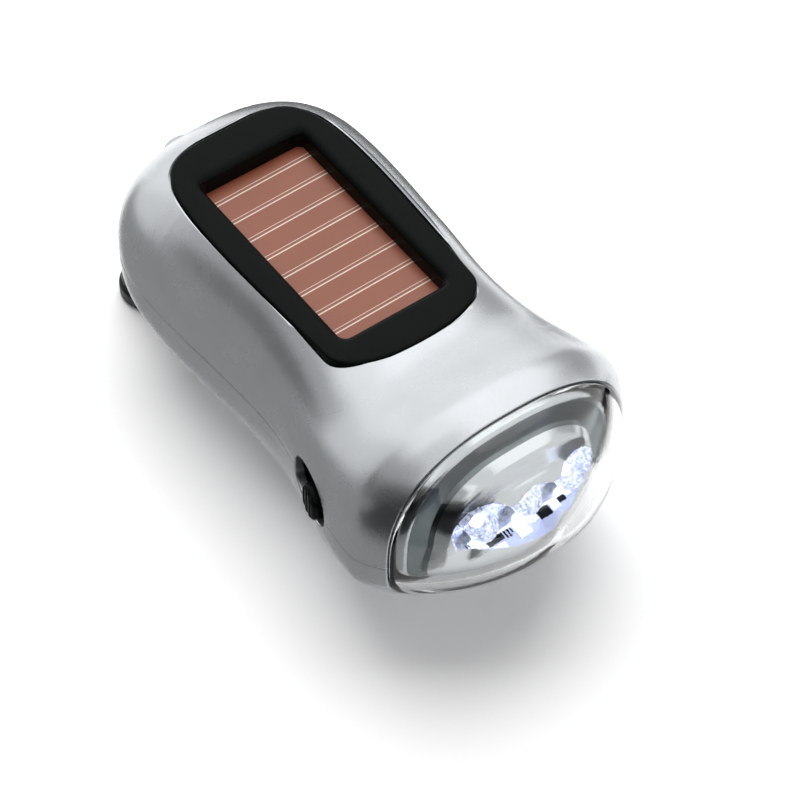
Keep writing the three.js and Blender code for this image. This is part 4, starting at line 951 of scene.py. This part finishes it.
def sink_dish(points):
    """The reflector's face lies deeper than the lens's form behind a steep wall at its rim."""
    y, lift = points[..., 1], parting_height + nose_lift
    deep = np.interp(y, terrace_stations[::-1], terrace_depths[::-1])
    across, upward = points[..., 0], points[..., 2] - lift
    reach = np.maximum(np.hypot(across, upward), MM)
    upper = ease((upward / reach + 0.55) / 0.6)
    scale = 1 - deep * upper / reach
    return np.stack([across * scale, y, lift + upward * scale], axis=-1)


lamp_pitch, lamp_height = 8.5 * MM, 27.45 * MM
lamp_radius = 2.5 * MM
cup_back_station, cup_base_radius, cup_mouth_radius, cup_depth = -43.3 * MM, 4.2 * MM, 6.7 * MM, 12.6 * MM
cup_wall, cup_back = 0.8 * MM, 1.2 * MM
lamp_offsets = {"left": -lamp_pitch, "middle": 0.0, "right": lamp_pitch}


def bowl(x, margin, back, stem=0.0):
    """A bowl as a solid, from its back to well past its mouth, with a stem for the lamp's hole."""
    steps = np.linspace(0, 1, 14)
    radii = cup_base_radius + (cup_mouth_radius - cup_base_radius) * np.sqrt(steps) + margin
    stations = cup_back_station - cup_depth * steps
    behind = cup_back_station + back
    profile = [(0, behind)]
    if stem:
        profile = [(0, behind + 5 * MM), (stem, behind + 5 * MM), (stem, behind)]
    if back:
        profile.append((radii[0], behind))
    profile += [*zip(radii, stations), (0, stations[-1])]
    return turned("bowl", profile, 72, "Y", (x, 0, lamp_height))


def nose_solid(name, inset, rear_reach):
    """The terraced nose as a filled solid that reaches behind the seam."""
    stations = nose_rings()[0][:-1]
    stations = np.concatenate([stations[0] + rear_reach * np.array([1, 0.5]), stations])
    angles = np.linspace(0, 2 * math.pi, lens_row_count, endpoint=False)
    return loop_stack(name, [*sink_dish(skin(stations[:, None], angles[None, :], inset))])


tray_half_length, tray_rise, tray_drop, tray_corner = 14.9 * MM, 4.7 * MM, 6.3 * MM, 5.2 * MM
tray_floor, tray_mouth = -47.0 * MM, -60 * MM
shelf_height = 24.5 * MM
shade_front, shade_rear = -43.3 * MM, -41.6 * MM
rim_reach, core_reach = 1.4 * MM, 5 * MM


def tray(margin):
    """The shallow tray across the reflector that the bowls open into."""
    low, high = lamp_height - tray_drop - margin, lamp_height + tray_rise + margin
    x, z = round_rectangle(tray_half_length + margin, low, high, tray_corner + margin, 12)
    loops = [np.stack([x, np.full_like(x, y), z], axis=-1) for y in (tray_floor + margin, tray_mouth)]
    return loop_stack("tray", loops)


def recess_solid(margin=0.0, back=0.0, stem=0.0):
    """The three bowls and the tray as far down as the shelf, as one solid."""
    recess = bowl(0, margin, back, stem)
    for x in (-lamp_pitch, lamp_pitch):
        carve(recess, bowl(x, margin, back, stem), "UNION")
    carve(recess, tray(margin), "UNION")
    low, high = np.array([(-20, -80, 10), (20, -30, 0)]) * MM
    high[2] = shelf_height - margin
    return carve(recess, block("below_shelf", low, high))


nose_core = nose_solid("nose_core", reflector_inset + reflector_wall, core_reach)
carve(nose_core, recess_solid(cup_wall, cup_back))
reflector = carve(nose_solid("reflector_skin", reflector_inset, rim_reach), nose_core)
carve(reflector, recess_solid(stem=lamp_radius + seat_gap))
smooth(dress(reflector, "housing", "chrome_film", chrome_film, "reflector"))


def in_recess(place):
    """Whether a place lies on the walls of the tray or of a bowl."""
    touch = 0.05 * MM
    rise = place.z - lamp_height
    over_x = max(abs(place.x) - tray_half_length + tray_corner, 0)
    tray_middle, tray_half = (tray_rise - tray_drop) / 2, (tray_rise + tray_drop) / 2
    over_z = max(abs(rise - tray_middle) - tray_half + tray_corner, 0)
    in_tray = place.y < tray_floor + touch and math.hypot(over_x, over_z) < tray_corner + touch
    share = (cup_back_station - place.y) / cup_depth
    radius = cup_base_radius + (cup_mouth_radius - cup_base_radius) * math.sqrt(max(share, 0)) + touch
    in_bowl = share > -0.01 and any(math.hypot(place.x - x, rise) < radius for x in lamp_offsets.values())
    return place.z > shelf_height + touch and (in_tray or in_bowl)


reflector.data.materials.append(painted_lamplight)
reflector.data.materials.append(painted_shade_chrome)
# Faces of the recess take the painted lamplight, and a band by the rim takes painted shade.
for face in reflector.data.polygons:
    if in_recess(face.center):
        face.material_index = 1
    elif shade_front < face.center.y < shade_rear:
        face.material_index = 2

tile_gap, tile_thickness = 0.1 * MM, 0.06 * MM
edge_left, edge_right, edge_size = -13.0 * MM, 11.4 * MM, 0.3 * MM


def kept_inside(piece):
    """Trim a piece of the recess where it would stand out of the reflector's form."""
    return carve(piece, nose_solid("reach", reflector_inset + tile_gap, rim_reach), "INTERSECT")


# A glowing bar along the shelf's back edge is a painted highlight.
painted_shelf_highlight = block("painted_shelf_highlight", (edge_left, tray_floor - edge_size, shelf_height),
                   (edge_right, tray_floor, shelf_height + edge_size))
dress(kept_inside(painted_shelf_highlight), "housing", "chrome_film", painted_highlight_white)


def tiles(name, places, material):
    """Thin tiles on the shelf, each given by its two ends across and its two ends in depth, in mm."""
    corners = [np.array([(left, far), (right, far), (right, near), (left, near)]) * MM
               for left, right, near, far in places]
    row = bars(name, corners, shelf_height, shelf_height + tile_thickness)
    return dress(kept_inside(row), "housing", "lamp_resin", material)


# Tiles of painted shade, painted highlight and painted lamplight stand for the dark, bright and lavender
# facets on the shelf.
tiles("painted_shade_tiles", [
    (-11.6, -11.4, -46.0, -48.6), (-11.1, -10.9, -46.2, -48.8), (-10.6, -10.4, -46.6, -49),
    (-8.5, -5.5, -47.3, -48.5), (-5.2, -4.95, -47.3, -48.8), (-4.6, -4.35, -47.3, -48.8),
    (-4.0, -3.8, -47.3, -48.4), (1.2, 3.5, -47.3, -49.2), (5.6, 7.1, -47.3, -48.4)], black_moulding)
tiles("painted_highlight_tiles", [
    (-9.0, -6.0, -48.9, -50.5), (-3.4, -1.2, -47.3, -50.0), (3.8, 5.5, -47.3, -48.9),
    (7.4, 8.3, -47.3, -47.9)], painted_highlight_white)
tiles("painted_glow_tiles", [(-10.3, -8.7, -47.3, -50.2), (-1.0, 1.1, -47.3, -48.7)], painted_lamplight)
print("reflector:", len(reflector.data.polygons), "faces")

# %% [markdown]
# ## Lamps
# Each lamp is a clear resin bullet on a flanged base. Inside it stand two flat steel posts, the
# broader one reaching up to the glowing chip, which in the real lamp sits in a small cup on top.

# %% Lamps
lamp_base, lamp_length = -40.3 * MM, 8.6 * MM
lamp_flange, lamp_flange_depth = 0.4 * MM, 1.0 * MM
chip_station, chip_gap = lamp_base - 4.4 * MM, 0.05 * MM
chip_section = np.array([(0, 0), (0.95, 0), (1.0, 0.4), (0.8, 0.9), (0.45, 1.15), (0, 1.2)]) * MM
post_foot, post_half_thickness = lamp_base - 0.6 * MM, 0.25 * MM
# Each post's name, its middle beside the lamp's, its half width, and how far short of the chip it ends.
lamp_posts = [("cup", -0.9 * MM, 0.9 * MM, 0), ("far", 1.1 * MM, 0.5 * MM, 0.5 * MM)]


def lamp_profile():
    shoulder = lamp_length - lamp_radius
    profile = [(0, 0), (lamp_radius + lamp_flange, 0), (lamp_radius + lamp_flange, lamp_flange_depth)]
    profile += [(lamp_radius, lamp_flange_depth + 0.05 * MM), (lamp_radius, shoulder)]
    for turn in np.radians(np.linspace(9, 90, 10)):
        profile.append((lamp_radius * math.cos(turn), shoulder + lamp_radius * math.sin(turn)))
    return [(radius, lamp_base - reach) for radius, reach in profile]


def steel_post(name, x, half_width, top):
    """A flat steel post inside the resin, on edge."""
    low = (x - half_width, top, lamp_height - post_half_thickness)
    return block(name, low, (x + half_width, post_foot, lamp_height + post_half_thickness))


for place, x in lamp_offsets.items():
    resin = turned(f"lamp_{place}_resin", lamp_profile(), 48, "Y", (x, 0, lamp_height))
    smooth(dress(resin, "housing", "lamp_resin", lamp_resin, f"lamp_{place}"), 50)
    for post_name, offset, half_width, short in lamp_posts:
        post = steel_post(f"lamp_{place}_{post_name}_post", x + offset, half_width, chip_station + short)
        dress(post, "housing", "pin_steel", pin_steel)
    glow = [(radius, chip_station - chip_gap - reach) for radius, reach in chip_section]
    chip = turned(f"lamp_{place}_chip", glow, 24, "Y", (x, 0, lamp_height))
    smooth(dress(chip, "housing", "lamp_resin", lamp_glow), 60)
print("lamps:", list(lamp_offsets))

# %% [markdown]
# ## Rounded plates
# The switch button, the eye and the crank arm are plates with soft edges. One helper stacks an
# outline at growing insets near both faces, which gives a true round instead of a bevel that
# can fold over itself.

# %% Rounded plates
def drawn_in(outline, inset):
    """An anticlockwise outline moved inwards by an even distance."""
    points = np.array(outline, float)
    before, after = np.roll(points, 1, axis=0), np.roll(points, -1, axis=0)
    ahead = after - before
    length = np.maximum(np.hypot(ahead[:, 0], ahead[:, 1]), 1e-9)
    normal = np.stack([ahead[:, 1], -ahead[:, 0]], axis=1) / length[:, None]
    return points - inset * normal


def pillow(name, outline, low, high, low_round, high_round, steps=5):
    """A plate between two heights with rounded rims."""
    turns = np.linspace(0, 90, steps + 1)
    loops = [level(drawn_in(outline, fall).T, low + out) for out, fall in quarter(low_round, turns)]
    loops += [level(drawn_in(outline, out).T, high - fall) for out, fall in quarter(high_round, turns)]
    return loop_stack(name, loops)


def arc(x, y, radius, start, end, steps=24):
    """Points of a round stretch, angles in degrees."""
    angles = np.radians(np.linspace(start, end, steps + 1))
    return [(x + radius * math.cos(angle), y + radius * math.sin(angle)) for angle in angles]


def move_mesh(piece, matrix):
    piece.data.transform(matrix)
    if matrix.determinant() < 0:
        piece.data.flip_normals()
    return piece


# %% [markdown]
# ## Slide switch
# A ribbed black button on a broad plate. The plate runs behind the wall and hides the opening at
# both ends of its travel.

# %% Switch slider
slider_travel = 4 * MM
slider_half_length, slider_half_height, slider_corner = 2.6 * MM, 3.4 * MM, 2.4 * MM
slider_proud, slider_plate = 1.0 * MM, 0.8 * MM
button_crown, button_round, plate_round = 0.12 * MM, 0.9 * MM, 0.1 * MM
groove_radius, groove_pitch, groove_lift = 0.42 * MM, 1.25 * MM, 0.18 * MM
plate_near, plate_half_length, plate_half_height = 3.4 * MM, 8.6 * MM, 5.8 * MM
switch_matrix = Matrix((
    (switch_along.x, 0, -switch_inward.x, switch_origin.x),
    (switch_along.y, 0, -switch_inward.y, switch_origin.y),
    (0, 1, 0, switch_origin.z),
    (0, 0, 0, 1),
))
rest_shift = Matrix.Translation((-slider_travel / 2, 0, 0))


def plate_outline(half_length, half_height, corner, steps=10):
    x, y = round_rectangle(half_length, -half_height, half_height, corner, steps)
    return list(zip(x, y))


slider = pillow(
    "switch_button", plate_outline(slider_half_length, slider_half_height, slider_corner),
    -plate_near - slider_plate / 2, slider_proud + button_crown, plate_round, button_round, 8)
for step in (-1, 0, 1):
    groove_place = (step * groove_pitch, 0, slider_proud + groove_lift)
    carve(slider, rod("groove", groove_radius, -5 * MM, 5 * MM, 24, "Y", groove_place))
slider_back = pillow(
    "slider_plate", plate_outline(plate_half_length, plate_half_height, slider_corner),
    -plate_near - slider_plate, -plate_near, plate_round, plate_round, 2)
carve(slider, slider_back, "UNION")
move_mesh(slider, switch_matrix @ rest_shift)
smooth(dress(slider, "slider", "black_trim", black_moulding, "switch_slider"), 35)
print("switch button:", len(slider.data.polygons), "faces")

# %% [markdown]
# ## Lanyard eye
# A clear tab with a round hole, thick enough for a wrist cord. Its neck is held between the
# shells.

# %% Lanyard eye
eye_rim_round, eye_mouth_round = 0.9 * MM, 0.8 * MM
neck_angle = math.degrees(math.acos(eye_neck_half / eye_radius))
eye_outline = [(-eye_neck_half, 44.1 * MM), (eye_neck_half, 44.1 * MM)]
eye_outline += arc(0, eye_station, eye_radius, -neck_angle, 180 + neck_angle, 48)
eye = pillow("lanyard_tab", eye_outline, eye_bottom, eye_top, eye_rim_round, eye_rim_round, 6)
mouth_turns = np.linspace(80, 0, 6)
mouth = [(eye_hole_radius + out, eye_bottom + fall) for out, fall in quarter(eye_mouth_round, mouth_turns)]
mouth += [(radius, eye_bottom + eye_top - height) for radius, height in reversed(mouth)]
first, last = (mouth[0][0], eye_bottom - MM), (mouth[-1][0], eye_top + MM)
hole_profile = [(0, first[1]), first, *mouth, last, (0, last[1])]
carve(eye, turned("eye_hole", hole_profile, 48, place=(0, eye_station, 0)))
smooth(dress(eye, "housing", "eye_clear", eye_resin, "lanyard_eye"), 45)
print("lanyard eye:", len(eye.data.polygons), "faces")

# %% [markdown]
# ## Crank
# The crank is stowed under the belly at a slant, so its pieces are made lengthwise along Y round
# the crank's axis and then turned by the stow angle.

# %% Crank hub
stow_turn = Matrix.Translation(crank_axis) @ Matrix.Rotation(math.radians(13.8), 4, "Z")
arm_thickness, slot_gap, hub_top = 3.6 * MM, 0.3 * MM, 5.8 * MM
shaft_radius, shaft_flat, shaft_top = 3 * MM, 2.3 * MM, 11.2 * MM
arm_half_width, arm_waist_half, crank_radius = 5.3 * MM, 4.5 * MM, 51.5 * MM
hinge_height, hinge_radius, hinge_half_length = 1.8 * MM, 1 * MM, 11.9 * MM
pin_gap, bore_reach = 0.12 * MM, 20 * MM
hub_round, arm_round = 1.2 * MM, 0.9 * MM

hub_profile = [(0, 0)]
hub_profile += [(hub_radius - fall, out) for out, fall in quarter(hub_round, np.linspace(0, 90, 7))]
hub_profile += [(hub_radius - out, hub_top - fall) for out, fall in quarter(edge_round, [0, 30, 60, 90])]
hub_profile += [(shaft_radius, hub_top), (shaft_radius, shaft_top), (0, shaft_top)]
hub = turned("crank_hub_disc", hub_profile, 96)
slot_half = arm_half_width + slot_gap
carve(hub, block("slot", (-slot_half, -body_reach, -MM), (slot_half, body_reach, arm_thickness + slot_gap)))


def lying_pin(name, radius, half_length, chamfer=0.0, sides=32):
    """A pin along X at the hinge's height."""
    if chamfer:
        profile = [(0, -half_length), (radius - chamfer, -half_length), (radius, chamfer - half_length)]
        profile += [(out, -height) for out, height in reversed(profile)]
        pin = turned(name, profile, sides)
    else:
        pin = rod(name, radius, -half_length, half_length, sides)
    pin.data.transform(Matrix.Translation((0, 0, hinge_height)) @ Matrix.Rotation(math.pi / 2, 4, "Y"))
    return pin


carve(hub, lying_pin("pin_bore", hinge_radius + pin_gap, bore_reach))
carve(hub, block("flat", (shaft_flat, -5 * MM, hub_top + 0.2 * MM), (5 * MM, 5 * MM, 15 * MM)))
hub.data.transform(stow_turn)
smooth(dress(hub, "crank", "crank_black", crank_moulding, "crank_hub"))
hinge = lying_pin("arm_hinge_pin", hinge_radius, hinge_half_length, 0.15 * MM)
hinge.data.transform(stow_turn)
smooth(dress(hinge, "crank", "pin_steel", pin_steel, "hinge_pin"))
print("hub:", len(hub.data.polygons), "faces")


# %% Crank arm
def bend(start, control, end, steps=16):
    """A quadratic curve between two points, without its first point."""
    shares = np.linspace(0, 1, steps + 1)[1:]
    start, control, end = (np.array(point) for point in (start, control, end))
    return [tuple((1 - t) ** 2 * start + 2 * t * (1 - t) * control + t * t * end) for t in shares]


run = crank_radius - arm_half_width
right_side = [(arm_half_width, 0.12 * MM), (arm_half_width, hub_radius)]
right_side += bend(right_side[-1], (arm_waist_half, hub_radius + arm_half_width), (arm_waist_half, run / 2))
right_side += bend(right_side[-1], (arm_waist_half, run - arm_half_width), (arm_half_width, crank_radius))
left_side = [(-x, y) for x, y in reversed(right_side)]
arm_outline = right_side + arc(0, crank_radius, arm_half_width, 0, 180, 40)[1:-1] + left_side
arm = pillow("crank_arm_blade", arm_outline, 0, arm_thickness, arm_round, arm_round)
knuckle_half = arm_half_width - 0.5 * MM
carve(arm, lying_pin("knuckle", hinge_height - 0.01 * MM, knuckle_half, 0, 48), "UNION")
carve(arm, lying_pin("arm_bore", hinge_radius + pin_gap, bore_reach))
rivet_radius, rivet_head_radius, rivet_head = 1.4 * MM, 2.6 * MM, 0.9 * MM
seat = rivet_head + 2 * pin_gap
rivet_hole = [(0, -MM), (rivet_head_radius + seat_gap, -MM), (rivet_head_radius + seat_gap, seat)]
rivet_hole += [(rivet_radius + pin_gap, seat), (rivet_radius + pin_gap, 5 * MM), (0, 5 * MM)]
carve(arm, turned("rivet_hole", rivet_hole, 48, place=(0, crank_radius, 0)))
arm.data.transform(stow_turn)
smooth(dress(arm, "arm", "crank_black", crank_moulding, "crank_arm"), 38)
print("crank arm:", len(arm.data.polygons), "faces")

# %% [markdown]
# ## Knob and rivet
# The knob is a small spool with a shallow waist for the finger tips. A rivet with a head at both
# ends holds it on the arm and lets it turn.

# %% Knob and rivet
knob_radius, knob_height, knob_waist = 4.8 * MM, 6 * MM, 0.35 * MM
foot_round, crown_round = 0.5 * MM, 1.2 * MM
knob_bottom = arm_thickness + pin_gap
knob_top = knob_bottom + knob_height
head_pocket = rivet_head + pin_gap


def knob_profile():
    """Half section of the knob, a closed ring round the rivet."""
    bore, pocket = rivet_radius + pin_gap, rivet_head_radius + seat_gap
    profile = [(bore, knob_bottom), (knob_radius - 0.8 * MM, knob_bottom)]
    turns = np.linspace(0, 90, 5)
    profile += [(knob_radius - fall, knob_bottom + out) for out, fall in quarter(foot_round, turns)]
    for share in np.linspace(0.1, 0.9, 9):
        dip = knob_waist * math.sin(math.pi * share)
        height = knob_bottom + foot_round + share * (knob_height - foot_round - crown_round)
        profile.append((knob_radius - dip, height))
    turns = np.linspace(0, 90, 7)
    profile += [(knob_radius - out, knob_top - fall) for out, fall in quarter(crown_round, turns)]
    return profile + [(pocket, knob_top), (pocket, knob_top - head_pocket), (bore, knob_top - head_pocket)]


to_knob = stow_turn @ Matrix.Translation((0, crank_radius, 0))
knob = turned("crank_knob_spool", knob_profile(), closed=True)
knob.data.transform(to_knob)
smooth(dress(knob, "knob", "crank_black", crank_moulding, "crank_knob"), 38)


def rivet_profile():
    low, high = pin_gap, knob_top - pin_gap
    edge = 0.2 * MM
    return [
        (0, low), (rivet_head_radius - edge, low), (rivet_head_radius, low + edge),
        (rivet_head_radius, low + rivet_head), (rivet_radius, low + rivet_head),
        (rivet_radius, high - rivet_head), (rivet_head_radius, high - rivet_head),
        (rivet_head_radius, high - edge), (rivet_head_radius - edge, high), (0, high),
    ]


rivet = turned("knob_rivet_pin", rivet_profile(), 48)
rivet.data.transform(to_knob)
smooth(dress(rivet, "arm", "pin_steel", pin_steel, "knob_rivet"))
print("knob:", len(knob.data.polygons), "faces")

# %% [markdown]
# ## Case screws
# Four pan head screws hold the shells together from below, deep in their counterbores. A cross
# recess is cut in each head.

# %% Case screws
screw_head_radius, screw_head, screw_shank = 2.0 * MM, 1.1 * MM, 0.95 * MM
cross_half_length, cross_half_width, cross_depth = 1.2 * MM, 0.22 * MM, 0.6 * MM


def screw_profile(length):
    profile = [(0, -screw_head), (screw_head_radius * 0.55, -screw_head)]
    for turn in np.radians(np.linspace(20, 90, 5)):
        out = screw_head_radius * (0.55 + 0.45 * math.sin(turn))
        profile.append((out, -screw_head + 0.6 * MM * (1 - math.cos(turn))))
    return profile + [(screw_head_radius, 0), (screw_shank, 0), (screw_shank, length - MM), (0, length)]


for node, (centre, (low, high)) in screw_places.items():
    seat_height = low.z + screw_head
    screw = turned(node + "_pan", screw_profile(high.z - seat_height), 40)
    for x, y in ((cross_half_length, cross_half_width), (cross_half_width, cross_half_length)):
        carve(screw, block("cross", (-x, -y, -screw_head - MM), (x, y, cross_depth - screw_head)))
    screw.data.transform(Matrix.Translation((centre.x, centre.y, seat_height)))
    smooth(dress(screw, "housing", "pin_steel", pin_steel, node))
print("case screws:", len(screw_places))

# %% [markdown]
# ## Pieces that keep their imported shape
# The gear train, the generator, the cells and the boards are the real shape already. They lie
# inside the closed body and only need their finish, which the record's slots name.

# %% Finishes of the inner pieces
slot_finish = {
    "silver_shell": silver_paint, "black_trim": black_moulding, "crank_black": crank_moulding,
    "cell_film": cell_film, "clear_lens": clear_dome, "chrome_film": chrome_film, "lamp_resin": lamp_resin,
    "board_green": board_laminate, "gear_ivory": gear_acetal, "pin_steel": pin_steel, "can_steel": can_steel,
    "magnet_grey": magnet_ferrite, "winding_copper": winding_copper, "battery_sleeve": battery_sleeve,
    "eye_clear": eye_resin, "bush_bronze": bush_bronze,
}
slot_of_node = {row["node"]: row["material_slot"] for row in frame["record"]["subparts"]}
for node, piece in frame["nodes"].items():
    inner_finish = slot_finish[slot_of_node[node]]
    if piece.material_slots:
        for material_slot in piece.material_slots:
            material_slot.material = inner_finish
    else:
        piece.data.materials.append(inner_finish)
print("finished nodes:", len(frame["nodes"]))

# %% [markdown]
# ## The floor
# A white sheet a hair below the torch. Where it is looked at, mirrored or seen through glass its
# colour is lifted to the white of the photograph, and further out it runs into the white of
# the world, so that no horizon shows. Near the torch it keeps the shadow.

# %% Floor
floor_half, floor_drop = 1.2, 0.05 * MM
paper_grey, paper_lift = 0.93, 1.7
sweep_start, sweep_end = 0.16, 0.40
floor_corners = [(x * floor_half, y * floor_half, -floor_drop) for x, y in square_corners]
floor = add_piece("white_floor", floor_corners, [(0, 1, 2, 3)])
paper = bpy.data.materials.new("white_paper")
paper.use_nodes = True
paper_tree, paper_shader = paper.node_tree, shader_of(paper)
paper_shader.inputs["Roughness"].default_value = 0.9
paper_shader.inputs["Specular IOR Level"].default_value = 0.0
paper_shown = looked_at(paper_tree)
paper_tint = paper_tree.nodes.new("ShaderNodeMix")
paper_tint.data_type = "RGBA"
paper_tint.inputs["A"].default_value = (paper_grey, paper_grey, paper_grey, 1)
paper_tint.inputs["B"].default_value = (paper_lift, paper_lift, paper_lift, 1)
paper_place = paper_tree.nodes.new("ShaderNodeTexCoord")
paper_reach = paper_tree.nodes.new("ShaderNodeVectorMath")
paper_reach.operation = "LENGTH"
paper_sweep = paper_tree.nodes.new("ShaderNodeMapRange")
paper_sweep.inputs["From Min"].default_value = sweep_start
paper_sweep.inputs["From Max"].default_value = sweep_end
paper_far = paper_tree.nodes.new("ShaderNodeMath")
paper_far.operation = "MULTIPLY"
paper_white = paper_tree.nodes.new("ShaderNodeEmission")
paper_blend = paper_tree.nodes.new("ShaderNodeMixShader")
wire(paper_tree, (paper_shown, 0, paper_tint, "Factor"), (paper_tint, "Result", paper_shader, "Base Color"),
     (paper_place, "Object", paper_reach, 0), (paper_reach, "Value", paper_sweep, "Value"),
     (paper_sweep, "Result", paper_far, 0), (paper_shown, 0, paper_far, 1),
     (paper_far, 0, paper_blend, "Fac"), (paper_shader, 0, paper_blend, 1), (paper_white, 0, paper_blend, 2),
     (paper_blend, 0, paper_tree.nodes["Material Output"], "Surface"))
floor.data.materials.append(paper)
print("floor:", 2 * floor_half, "m across")
